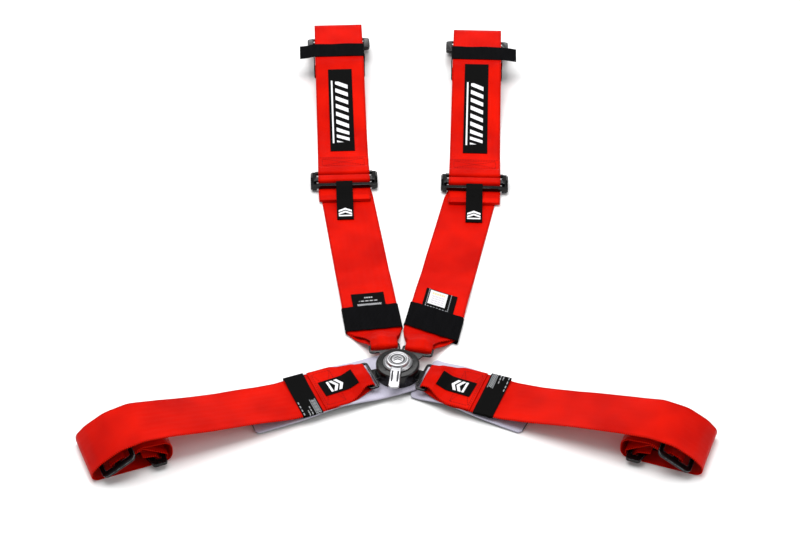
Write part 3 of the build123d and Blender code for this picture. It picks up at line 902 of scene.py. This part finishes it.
def lap_belt(side):
    s = LAPS[side]
    place, length = lap_frame(side)
    route, radii = lap_route(length)
    line = rounded(route, radii)
    centres, sides = run_along(place, line)
    x, turn = line[:, 0], int(line[:, 0].argmin())
    order = np.arange(len(x))
    # numbers of the points where stretches end: beside the tongue, the run with the top of
    # the rolled end, and that with its far side
    near_end, top_end, far_end = turn + 40, turn + 120, turn + 140
    flap = order <= turn
    near = order < near_end
    start = length - LAP_BUNDLE
    far = int((x * (order < far_end)).argmax())
    # how much lower the back edge lies than the front edge
    sag = np.interp(x, [86, 140, 190, start, start + 34], [0, 4.2, 5.6, 3.0, 0])
    fade = np.interp(order, [far - 1, far + 6], [1, 0]) * (order > turn + 20)
    sag = sag * fade
    half = np.where(flap, np.interp(x, [-8, 5, 20, 36], [21.5, 22, 31, WEB_HALF]),
                    np.interp(x, [-8, 2, 24, 40], [21.5, 23, 34, WEB_HALF]))
    half = np.where(near | (x < 60), half, WEB_HALF)

    def lift(row, y):
        at, first = x[row.astype(int)], row <= turn
        edge = np.clip(np.abs(y) / WEB_HALF, 0, 1)
        crown = lap_crown(at, y)
        pleats = 0.7 * np.exp(-((at - 8) / 10) ** 2) * np.cos(y / 4.1)
        close = at < 60
        curl = 1.3 * edge ** 6 * np.exp(-((at - 22) / 10) ** 2)
        raised = np.where(close & first, -crown - pleats, 0)
        raised = np.where(close & ~first & (row < near_end), curl - 0.5 * pleats, raised)
        run = np.clip((at - 112) / 40, 0, 1) * (row < top_end) * ~first
        back = np.clip(0.5 - y * s["front"] / (2 * WEB_HALF), 0, 1)
        return (raised + run * 0.8 * edge ** 4 * np.sin(at / 23 + s["front"])
                - sag[row.astype(int)] * back)

    obj, total = strip(f"{side}_lap_webbing_woven", centres, sides, half, half, WEB_THICK, lift)
    dressed(obj, "red_webbing", "red_webbing", f"{side}_lap_webbing")
    sewn = stitches(f"{side}_lap_box_stitching", box_cross(38, 63, -31, 31) +
                    [((65, -35), (65, 35))], place, 13.75, f"{side}_lap_webbing")


def upper_belt(side):
    s = SHOULDERS[side]
    place = shoulder_frames(side)[2]
    route, radii = upper_route(side)
    line = rounded(route, radii)
    centres, sides = run_along(place, line)
    x, turn = line[:, 0], int(line[:, 0][:60].argmin())

    def lift(row, y):
        at = x[row.astype(int)]
        edge = np.clip(np.abs(y) / WEB_HALF, 0, 1)
        free = (row > turn + 8) * np.clip((at - 75) / 40, 0, 1)
        free = free * (at < s["length"] - s["bundle"] - 8)
        return free * edge ** 4 * 0.9 * (1 + np.sin(at / 31 + s["outboard"]))

    obj, total = strip(f"{side}_shoulder_upper_webbing_woven", centres, sides, WEB_HALF,
                       WEB_HALF, WEB_THICK, lift)
    dressed(obj, "red_webbing", "red_webbing", f"{side}_shoulder_upper_webbing")
    sewn = stitches(f"{side}_shoulder_box_stitching", box_cross(36, 53, -31, 31) +
                    [((56, -35), (56, 35))], place, 3.45,
                    f"{side}_shoulder_upper_webbing")


def lower_belt(side):
    s = SHOULDERS[side]
    low, run, up = shoulder_frames(side)
    near = rounded([(102, 2.3), (32, 2.3), (10, 10.9), (-5.2, 10.9), (-5.2, 18.1), (10, 18.1),
                    (38, 4.3), (136, 4.3), (175, 0.8), (run - 46, 0.8)],
                   [10, 8, 3.5, 3.5, 8, 14, 30, 30])
    far = rounded([(-9, 0.8), (0.5, 0.8), (0.5, 13.4), (-13.6, 13.4), (-15.2, 4.6), (-46, 4.6)],
                  [5, 4, 3.5, 3.5])
    first, first_sides = run_along(low, near)
    last, last_sides = run_along(up, far)
    way0, way1 = unit(first[-1] - first[-2]), unit(last[1] - last[0])
    gap = np.linalg.norm(last[0] - first[-1])
    bridge = []
    for t in np.linspace(0, 1, 13)[1:-1]:
        bridge.append((2 * t**3 - 3 * t**2 + 1) * first[-1] + (t**3 - 2 * t**2 + t) * way0 * gap
                      + (3 * t**2 - 2 * t**3) * last[0] + (t**3 - t**2) * way1 * gap)
    centres = np.concatenate([first, bridge, last])
    share = np.clip((np.arange(len(centres)) - len(first)) / (len(bridge) + 1), 0, 1)
    share = (share * share * (3 - 2 * share))[:, None]
    sides = (1 - share) * first_sides[0] + share * last_sides[0]
    sides /= np.linalg.norm(sides, axis=1)[:, None]
    x = np.concatenate([near[:, 0], np.full(len(bridge) + len(last), 500.0)])
    turn = int(near[:, 0].argmin())
    flap = np.arange(len(x)) <= turn
    out, inner = (s["outboard"], -s["outboard"])
    under_out = np.interp(x, [-8, 6, 38, 44], [10.8, 11.5, 33.0, WEB_HALF])
    over_out = np.interp(x, [-8, 8, 25, 36, 45], [10.6, 10.6, 15.5, 28.0, WEB_HALF])
    inside = np.interp(x, [-8, 10, 34, 45], [25.0, 25.5, 34.0, WEB_HALF])
    halves = {out: np.where(flap, under_out, over_out), inner: inside}

    def lift(row, y):
        at, first = x[row.astype(int)], row <= turn
        crown = np.interp(at, [-8, -2, 10, 24, 36, 44], [0.4, 1.6, 3.6, 4.6, 2.2, 0.0])
        shape = np.clip(1 - ((y - s["gathered_at"]) / 20) ** 2, -0.35, 1)
        pleats = np.interp(at, [-8, 6, 30, 42], [0.5, 1.0, 0.8, 0]) * np.cos(y / 4.4 + out)
        raised = np.where(first, np.clip(pleats, -0.6, 0.6), crown * shape + pleats)
        raised = np.where(at < 46, raised, 0)
        free = np.clip((at - 180) / 30, 0, 1) * np.clip((run - 115 - at) / 30, 0, 1)
        return raised + free * (at < 490) * ripple(at, y, 1.6, 2 + out)

    obj, total = strip(f"{side}_shoulder_lower_webbing_woven", centres, sides,
                       halves[1], halves[-1], WEB_THICK, lift)
    hem, _ = strip(f"{side}_shoulder_hem", *run_along(up, rounded([(-41, 4.6), (-51.5, 4.6)], [],
                   step=1.5)), WEB_HALF - 0.3, WEB_HALF - 0.3, 3.9, edge=2.0)
    for piece in (obj, hem):
        dressed(piece, "red_webbing", "red_webbing", f"{side}_shoulder_lower_webbing",
                seat=False)
        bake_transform(piece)


def keeper(side):
    s = SHOULDERS[side]
    low = shoulder_frames(side)[0]
    wide, middle = WEB_HALF + 0.1 + KEEPER_WALL / 2, sum(KEEPER) / 2
    floor, top = KEEPER_WALL / 2, KEEPER_TOP - KEEPER_WALL / 2
    line = rounded([(0, floor), (-wide, floor), (-wide, top), (wide, top), (wide, floor),
                    (0.4, floor)], [2.4] * 4, step=2.2)
    lean = tan(radians(s["skew"]))
    centres, sides = run_across(low, middle, lean, line)
    half = (KEEPER[1] - KEEPER[0]) / 2
    y = line[:, 0]
    waist = half - 0.7 * (1 - np.cos(y / 13)) * 0.5 + 0.25 * np.sin(y / 3.1)

    def lift(row, across):
        at, z = y[row.astype(int)], line[:, 1][row.astype(int)]
        lip = np.clip(np.abs(across) / half, 0, 1) ** 8 * 0.35
        return np.where(z > 3.5, lip + 0.16 * np.sin(at / 1.9) * (np.abs(across) / half), 0)

    obj, total = strip(f"{side}_shoulder_keeper_elastic", centres, sides, waist, waist,
                       KEEPER_WALL, lift, count=14, edge=1.0)
    dressed(obj, "black_elastic", "black_elastic", f"{side}_shoulder_keeper")


def flat_tape(name, place, x0, x1, y0, y1, z, thick, lean, look, slot, node):
    """A small flat label, askew by a lean, with a little life in its free end."""
    line = np.column_stack([np.linspace(x0, x1, 14), np.full(14, z)])
    middle, half = (y0 + y1) / 2, (y1 - y0) / 2
    centres, sides = run_along(place, line)
    sides = np.tile(unit(carried_over(place, (lean, 1, 0))), (len(line), 1))
    centres = centres + carried_over(place, (middle * lean, middle, 0))
    half = half * (1 + lean * lean) ** 0.5

    def lift(row, y):
        end = np.clip((row - 6) / 7, 0, 1)
        return end ** 2 * (0.35 + 0.3 * (y / half) ** 2)

    obj, total = strip(name, centres, sides, half, half, thick, lift, count=14, edge=0.5)
    dressed(obj, slot, look, node)
    2 * half * MM


def shoulder_labels(side):
    s = SHOULDERS[side]
    low, lean = shoulder_frames(side)[0], tan(radians(s["skew"]))
    far = KEEPER[1] + s["label"]
    look = "wide_label_tape" if side == "right" else "label_tape"
    flat_tape(f"{side}_shoulder_label_tape", low, KEEPER[1] - 8, far, -LABEL_HALF, LABEL_HALF,
              5.55, 0.6, lean, look, "black_label", f"{side}_shoulder_label")
    if side == "right":
        flat_tape("right_shoulder_pale_patch", low, KEEPER[1] + 7, far - 2, -9, 16, 6.05, 0.35,
                  lean, "white_label", "white_label", "right_shoulder_label_patch")


def sewn_tape(name, place, route, radii, half, thick, look, slot, node, lift=None,
              twist=None, edge=0.6):
    """A tape along its belt: a tag, tab or patch. twist: degrees it is turned in plan."""
    line = rounded(route, radii, step=2.5)
    centres, sides = run_along(place, line)
    if twist:
        pivot = centres.mean(0)
        turn = np.array(Matrix.Rotation(radians(twist), 3, "Z"))
        centres = (centres - pivot) @ turn.T + pivot
        sides = sides @ turn.T
    raised = (lambda row, y: lift(line[:, 0][row.astype(int)], y)) if lift else None
    obj, total = strip(name, centres, sides, half, half, thick, raised, count=14, edge=edge)
    dressed(obj, slot, look, node)
    return obj


def patch(side):
    s = SHOULDERS[side]
    up = shoulder_frames(side)[2]
    base = 0.8 + WEB_THICK / 2 + 0.5
    slope = (TOP_BUNDLE_H - 0.8) / (s["length"] - s["bundle"] - 10 - 125)
    p0, p1 = s["patch"]
    sewn_tape(f"{side}_shoulder_patch_tape", up,
              [(p0, base), (124, base), (p1, base + slope * (p1 - 124))], [60], 18.25, 0.8,
              "patch_tape", "black_label", f"{side}_shoulder_patch")


def release_tab(side):
    up = shoulder_frames(side)[2]
    sewn_tape(f"{side}_shoulder_tab_tape", up,
              [(-16, 12.7), (-25.6, 12.7), (-36, 7.9), (-54, 7.9), (-70, 3.2), (-94, 3.0)],
              [3, 6, 8, 8], 12, 1.4, "tab_tape", "black_label",
              f"{side}_shoulder_release_tab")


def lap_labels(side):
    place = lap_frame(side)[0]
    sewn_tape(f"{side}_lap_tag_tape", place, [(13, 18.8), (26.5, 14.5), (60, 14.4)], [8], 14,
              0.6, "tag_tape", "black_label", f"{side}_lap_tag",
              lift=lambda x, y: lap_crown(x, y) * 0.9, twist=-3 if side == "right" else 3)
    wide = WEB_HALF + 0.9
    line = rounded([(0, 9.35), (-wide, 9.35), (-wide, 12.45), (wide, 12.45), (wide, 9.35),
                    (0.4, 9.35)], [1.3] * 4, step=2.2)
    centres, sides = run_across(place, BAND_AT, 0, line)
    back = -LAPS[side]["front"]

    def lift(row, across):
        y, z = line[:, 0][row.astype(int)], line[:, 1][row.astype(int)]
        bulge = np.exp(-((y - back * 34) / 9) ** 2) * 1.7
        return np.where(z > 10.8, bulge + 0.12 * np.sin(y / 5), 0)

    obj, total = strip(f"{side}_lap_label_band_tape", centres, sides, BAND_HALF, BAND_HALF,
                       0.9, lift, count=12, edge=0.6)
    dressed(obj, "black_label", "band_tape_turned", f"{side}_lap_label_band")


def top_strap(side):
    s = SHOULDERS[side]
    up = shoulder_frames(side)[2]
    start = s["length"] - s["bundle"]
    out = s["outboard"]
    top = TOP_BUNDLE_H + WEB_THICK / 2 + 0.9
    route = [(61, top - 3.4), (47, top - 1.6), (39.0, top), (-39.0, top), (-39.0, 0.6), (39.0, 0.6),
             (39.0, 34.0)]
    line = rounded(route, [6, 6, 2.6, 2.6, 2.6], step=2.5)
    line[:, 0] *= out
    centres, sides = run_across(up, start + sum(STRAP) / 2, 0, line)
    half = (STRAP[1] - STRAP[0]) / 2
    height = line[:, 1]

    def lift(row, across):
        z = height[row.astype(int)]
        return np.where(z > 36, 0.4 * np.cos(across / 6) * np.sin(row / 3.0), 0) * -out

    obj, total = strip(f"{side}_shoulder_top_strap_tape", centres, sides * out, half, half, 1.2,
                       lift, count=12, edge=0.8)
    dressed(obj, "black_elastic", "black_elastic", f"{side}_shoulder_top_strap")


def lap_pad(side):
    s = LAPS[side]
    place = heading_frame(*s["pad_at"], s["pad_angle"])
    line = rounded(s["pad_route"], [40, 60, 60, 60], step=3.0)
    centres, sides = run_along(place, line)
    x, length = line[:, 0], line[-1, 0]
    corner = 5.0
    into = np.clip(corner - np.minimum(x, length - x), 0, corner)
    half = PAD_HALF - (corner - np.sqrt(corner ** 2 - into ** 2))

    def lift(row, y):
        at = x[row.astype(int)]
        front = np.clip(y * s["front"] / PAD_HALF, 0, 1)
        wave = sum(size * np.exp(-((at - middle) / spread) ** 2)
                   for middle, spread, size in s["waves"])
        return wave * front ** 2 + 0.25 * np.sin(at / 9) * front

    obj, total = strip(f"{side}_lap_pad_knit", centres, sides, half, half, PAD_THICK, lift,
                       count=26, edge=2.2, backing=True)
    dressed(obj, "pad_fabric", ["pad_fabric", "pad_backing"], f"{side}_lap_pad")


# ---- hard parts ----
def lever():
    base = LEVER_BASE
    outline = [(4.1, -3.8), (6.4, -3.8), (6.4, 0.0), (18.9, 0.0), (19.2, 0.3), (19.2, 0.9),
               (18.8, 1.5), (17.6, 2.5), (16.6, 3.15), (16.1, 3.2), (15.7, 3.0), (15.3, 3.1),
               (15.0, 3.6), (15.0, 5.6), (14.8, 6.3), (14.3, 6.8), (13.6, 7.0), (12.2, 7.0),
               (11.7, 6.9), (11.45, 6.6), (11.3, 6.0), (11.3, 5.4), (4.1, 5.4)]
    dome = lathe("release_lever_body", outline, base, 40)
    place = heading_frame(0, 0, LEVER_ANGLE)
    line = rounded([(8, base + 3), (24, base + 3), (34, base - 2.2), (45, base - 3.4)],
                   [12, 10], step=0.8)
    centres, sides = run_along(place, line)
    x = line[:, 0]
    into = np.clip(x - 42.4, 0, 2.5)
    half = 7.3 - (2.5 - np.sqrt(2.5 ** 2 - into ** 2)) - np.interp(x, [16, 26, 40], [0, 0.5, 0])

    def grooved(row, y):
        at = x[row.astype(int)]
        where = np.clip((at - 20.5) / 1.5, 0, 1) * np.clip((36.5 - at) / 2.5, 0, 1)
        return where * np.clip(1.25 - np.abs(np.abs(y) - 3.7), 0, 1)

    def hollow(row, y):
        at = x[row.astype(int)]
        tip = np.clip((at - 37.5) / 3, 0, 1) * np.clip(1 - (y / 5.5) ** 2, 0, 1) * 0.5
        return grooved(row, y) * 0.9 + tip

    # grooved also marks the tab's points for the silver finish, which paints the grooves dark as
    # their shade.
    tab, _ = strip("release_lever_tab", centres, sides, half, half, 3.4, relief=hollow,
                   count=48, edge=1.2, groove_shade=grooved)
    for piece in (dome, tab):
        dressed(piece, "silver_lever", "silver_lever", "release_lever")
    rim = [(0.0, 5.45), (10.9, 5.45), (11.0, 5.6), (11.0, 6.35), (10.8, 6.6), (10.0, 6.6),
           (9.6, 6.45), (9.3, 6.2), (8.2, 6.2), (7.9, 6.4), (7.0, 6.55), (3.5, 6.65),
           (0.0, 6.7)]
    dressed(lathe("lever_badge_face", rim, base, 35), "silver_lever", "badge_face",
            "lever_badge")


def buckle():
    eased("buckle_housing", "buckle_housing_shell", "black_housing", "black_housing", 0.4)
    eased("buckle_back_plate", "buckle_back_plate_pressed", "black_steel", "black_steel")
    for node in ("housing_screws", "spindle", "latch_spring_spider", "lever_return_spring",
                 "release_cam"):
        carried(node, "bright_steel")


def carried(node, look):
    """Keeps a part's own shape and gives it a finish."""
    obj = frame["nodes"][node]
    if not obj.material_slots:
        obj.data.materials.append(None)
    for place in obj.material_slots:
        place.material = finish(look)


def belt_hardware():
    for side in ("left", "right"):
        for belt in (f"{side}_shoulder", f"{side}_lap"):
            for part in ("tongue", "slide", "hook", "hook_gate"):
                eased(f"{belt}_{part}", f"{belt}_{part}_pressed", "black_steel", "black_steel")
            carried(f"{belt}_gate_pin", "bright_steel")


def adjusters():
    for side in ("left", "right"):
        eased(f"{side}_shoulder_adjuster_frame", f"{side}_shoulder_adjuster_pressed",
              "black_steel", "black_steel")
        eased(f"{side}_shoulder_lock_bar", f"{side}_shoulder_lock_bar_knurled",
              "knurled_steel", "black_steel")


# ---- settings ----
def hue(name, description, default):
    return FloatVectorProperty(name=name, description=description, subtype="COLOR",
                               default=default, min=0, max=1)


class HarnessCloth(bpy.types.PropertyGroup):
    """Colours and weave of the soft pieces."""
    # Lit and shaded copies of the webbing's one red, as painted light and shade: the lit red goes
    # on the raised yarns and lit zones, the shaded red between the yarns and in shaded zones.
    red_lit: hue("Webbing, lit yarns", "Colour of the raised yarns of the webbing",
                    (0.74, 0.0065, 0.0003))
    red_shaded: hue("Webbing, low yarns", "Colour between the yarns of the webbing",
                  (0.36, 0.0002, 0.0001))
    # A deep red painted as shade between the selvedge loops and in a line inside each edge.
    red_edge_shade: hue("Webbing, edge", "Colour between the loops of the selvedge",
                  (0.12, 0.0002, 0.0002))
    pad_pale: hue("Pad, pale", "Lighter colour of the pads' knit", (0.6, 0.58, 0.7))
    pad_dark: hue("Pad, shaded", "Darker colour of the pads' knit", (0.38, 0.365, 0.46))
    weave_pitch: FloatProperty(
        name="Weave pitch", description="Distance from one twill line to the next, in mm",
        default=1.7, min=0.5, max=5)


class HarnessMetal(bpy.types.PropertyGroup):
    """Rims and colours of the hard pieces."""
    rim: FloatProperty(
        name="Rim", description="Width of the rounding along the rims, in mm",
        default=0.45, min=0.05, max=1.5)
    rim_wear: FloatProperty(
        name="Rim wear", description="How far the black is worn off the rims",
        subtype="FACTOR", default=0.28, min=0, max=1)
    black: hue("Black", "Colour of the black finish", (0.001, 0.001, 0.0012))
    silver_bright: hue("Silver", "Colour of the lever's cast aluminium", (0.46, 0.46, 0.47))
    silver_dark: hue("Silver, dull", "Duller colour of the lever", (0.24, 0.24, 0.255))


class HarnessStudio(bpy.types.PropertyGroup):
    """Floor, lights and camera."""
    floor_colour: hue("Floor", "Colour of the studio floor", (0.93, 0.93, 0.93))
    sky: FloatProperty(
        name="Fill light", description="Strength of the even light from all round",
        default=0.5, min=0, max=5)
    key: FloatProperty(
        name="Key light", description="Power of the large soft light overhead",
        unit="POWER", default=82.0, min=0, max=1000)
    lens: FloatProperty(
        name="Lens", description="Focal length in mm on a 36 mm wide sensor",
        default=94.9, min=10, max=300)
    distance: FloatProperty(
        name="Distance", description="From the camera to the point it looks at",
        unit="LENGTH", default=2.94, min=0.5, max=20)
    elevation: FloatProperty(
        name="Elevation", description="Angle of the camera above the floor",
        subtype="ANGLE", default=radians(39.0), min=0, max=1.57)


# ---- operators ----
class HarnessOperator:
    bl_options = {"REGISTER", "UNDO"}
    makers = ()

    def execute(self, context):
        for maker in self.makers:
            maker()
        return {"FINISHED"}


def both(maker):
    return [lambda side=side: maker(side) for side in ("left", "right")]


class HARNESS_OT_lap_belts(HarnessOperator, bpy.types.Operator):
    """Weave the two lap belts, with their sewn flaps and rolled ends"""
    bl_idname = "harness.lap_belts"
    bl_label = "Lap belts"
    makers = both(lap_belt)


class HARNESS_OT_lower_belts(HarnessOperator, bpy.types.Operator):
    """Weave the two lower shoulder belts, which bend where the adjusters tilt"""
    bl_idname = "harness.lower_belts"
    bl_label = "Lower shoulder belts"
    makers = both(lower_belt)


class HARNESS_OT_upper_belts(HarnessOperator, bpy.types.Operator):
    """Weave the two upper shoulder belts, with their rolled ends"""
    bl_idname = "harness.upper_belts"
    bl_label = "Upper shoulder belts"
    makers = both(upper_belt)


class HARNESS_OT_keepers(HarnessOperator, bpy.types.Operator):
    """Make the two elastic keepers and the labels tucked under them"""
    bl_idname = "harness.keepers"
    bl_label = "Keepers and labels"
    makers = both(keeper) + both(shoulder_labels)


class HARNESS_OT_tapes(HarnessOperator, bpy.types.Operator):
    """Make the patches, release tabs, lap tags and label bands"""
    bl_idname = "harness.tapes"
    bl_label = "Patches, tabs and tags"
    makers = both(patch) + both(release_tab) + both(lap_labels)


class HARNESS_OT_top_straps(HarnessOperator, bpy.types.Operator):
    """Make the two straps that hold the shoulder bundles shut"""
    bl_idname = "harness.top_straps"
    bl_label = "Bundle straps"
    makers = both(top_strap)


class HARNESS_OT_pads(HarnessOperator, bpy.types.Operator):
    """Make the two knitted pads under the lap belts"""
    bl_idname = "harness.pads"
    bl_label = "Lap pads"
    makers = both(lap_pad)


class HARNESS_OT_buckle(HarnessOperator, bpy.types.Operator):
    """Finish the buckle's housing, plate and inner parts"""
    bl_idname = "harness.buckle"
    bl_label = "Buckle"
    makers = (buckle,)


class HARNESS_OT_lever(HarnessOperator, bpy.types.Operator):
    """Make the silver release lever and its badge"""
    bl_idname = "harness.lever"
    bl_label = "Release lever"
    makers = (lever,)


class HARNESS_OT_belt_hardware(HarnessOperator, bpy.types.Operator):
    """Finish the tongues, three-bar slides, snap hooks and gates"""
    bl_idname = "harness.belt_hardware"
    bl_label = "Tongues, slides and hooks"
    makers = (belt_hardware,)


class HARNESS_OT_adjusters(HarnessOperator, bpy.types.Operator):
    """Finish the shoulder adjusters and their lock bars"""
    bl_idname = "harness.adjusters"
    bl_label = "Adjusters"
    makers = (adjusters,)


def aimed(obj, target):
    obj.rotation_euler = (Vector(target) - obj.location).to_track_quat("-Z", "Y").to_euler()


def lamp(name, size, power, at, target=(0, 0, 0)):
    light = bpy.data.lights.new(name, "AREA")
    light.shape, light.size, light.size_y = "RECTANGLE", *size
    light.energy = power
    obj = bpy.data.objects.new(name, light)
    obj.location = at
    aimed(obj, target)
    bpy.context.scene.collection.objects.link(obj)


def stage():
    scene, set_up = bpy.context.scene, studio()
    scene.view_settings.view_transform = "Standard"
    work = bmesh.new()
    bmesh.ops.create_grid(work, x_segments=8, y_segments=8, size=FLOOR_HALF)
    floor = bpy.data.objects.new("studio_floor", meshed("studio_floor", work))
    floor.location.z = -FLOOR_DROP
    floor.data.materials.append(finish("studio_floor"))
    scene.collection.objects.link(floor)
    world = bpy.data.worlds.new("studio")
    world.use_nodes = True
    world.node_tree.nodes["Background"].inputs[0].default_value = (1, 1, 1, 1)
    world.node_tree.nodes["Background"].inputs[1].default_value = set_up.sky
    scene.world = world
    lamp("overhead_softbox", (2.6, 2.2), set_up.key, (-0.3, 0.5, 2.3))
    lamp("side_softbox", (1.0, 1.6), set_up.key * 0.16, (2.1, -0.9, 1.4))
    target = AXIS + Vector(AIM)
    camera = bpy.data.objects.new("camera", bpy.data.cameras.new("camera"))
    camera.data.lens, camera.data.sensor_width = set_up.lens, SENSOR
    back = Vector((0, -cos(set_up.elevation), sin(set_up.elevation)))
    camera.location = target + back * set_up.distance
    aimed(camera, target)
    camera.data.clip_end = 50
    scene.collection.objects.link(camera)
    scene.camera = camera


class HARNESS_OT_stage(HarnessOperator, bpy.types.Operator):
    """Set up the pale floor, the soft lights and the camera"""
    bl_idname = "harness.stage"
    bl_label = "Studio"
    makers = (stage,)


STEPS = (HARNESS_OT_lap_belts, HARNESS_OT_lower_belts, HARNESS_OT_upper_belts,
         HARNESS_OT_keepers, HARNESS_OT_tapes, HARNESS_OT_top_straps, HARNESS_OT_pads,
         HARNESS_OT_buckle, HARNESS_OT_lever, HARNESS_OT_belt_hardware, HARNESS_OT_adjusters,
         HARNESS_OT_stage)


class HARNESS_PT_sidebar(bpy.types.Panel):
    """Settings of the harness and a button for each group of its pieces"""
    bl_idname = "HARNESS_PT_sidebar"
    bl_label = "Racing harness"
    bl_space_type = "VIEW_3D"
    bl_region_type = "UI"
    bl_category = "Harness"

    def draw(self, context):
        for group in ("harness_cloth", "harness_metal", "harness_studio"):
            settings = getattr(context.scene, group)
            box = self.layout.box()
            for name in settings.__annotations__:
                box.prop(settings, name)
        for step in STEPS:
            self.layout.operator(step.bl_idname)


GROUPS = {"harness_cloth": HarnessCloth, "harness_metal": HarnessMetal,
          "harness_studio": HarnessStudio}


def register():
    for group in GROUPS.values():
        bpy.utils.register_class(group)
    for name, group in GROUPS.items():
        setattr(bpy.types.Scene, name, PointerProperty(type=group))
    for made in (*STEPS, HARNESS_PT_sidebar):
        bpy.utils.register_class(made)


def unregister():
    for made in (HARNESS_PT_sidebar, *reversed(STEPS)):
        bpy.utils.unregister_class(made)
    for name in GROUPS:
        delattr(bpy.types.Scene, name)
    for group in GROUPS.values():
        bpy.utils.unregister_class(group)


def main():
    register()
    for step in STEPS:
        space, name = step.bl_idname.split(".")
        getattr(getattr(bpy.ops, space), name)()


if __name__ == "__main__":
    main()
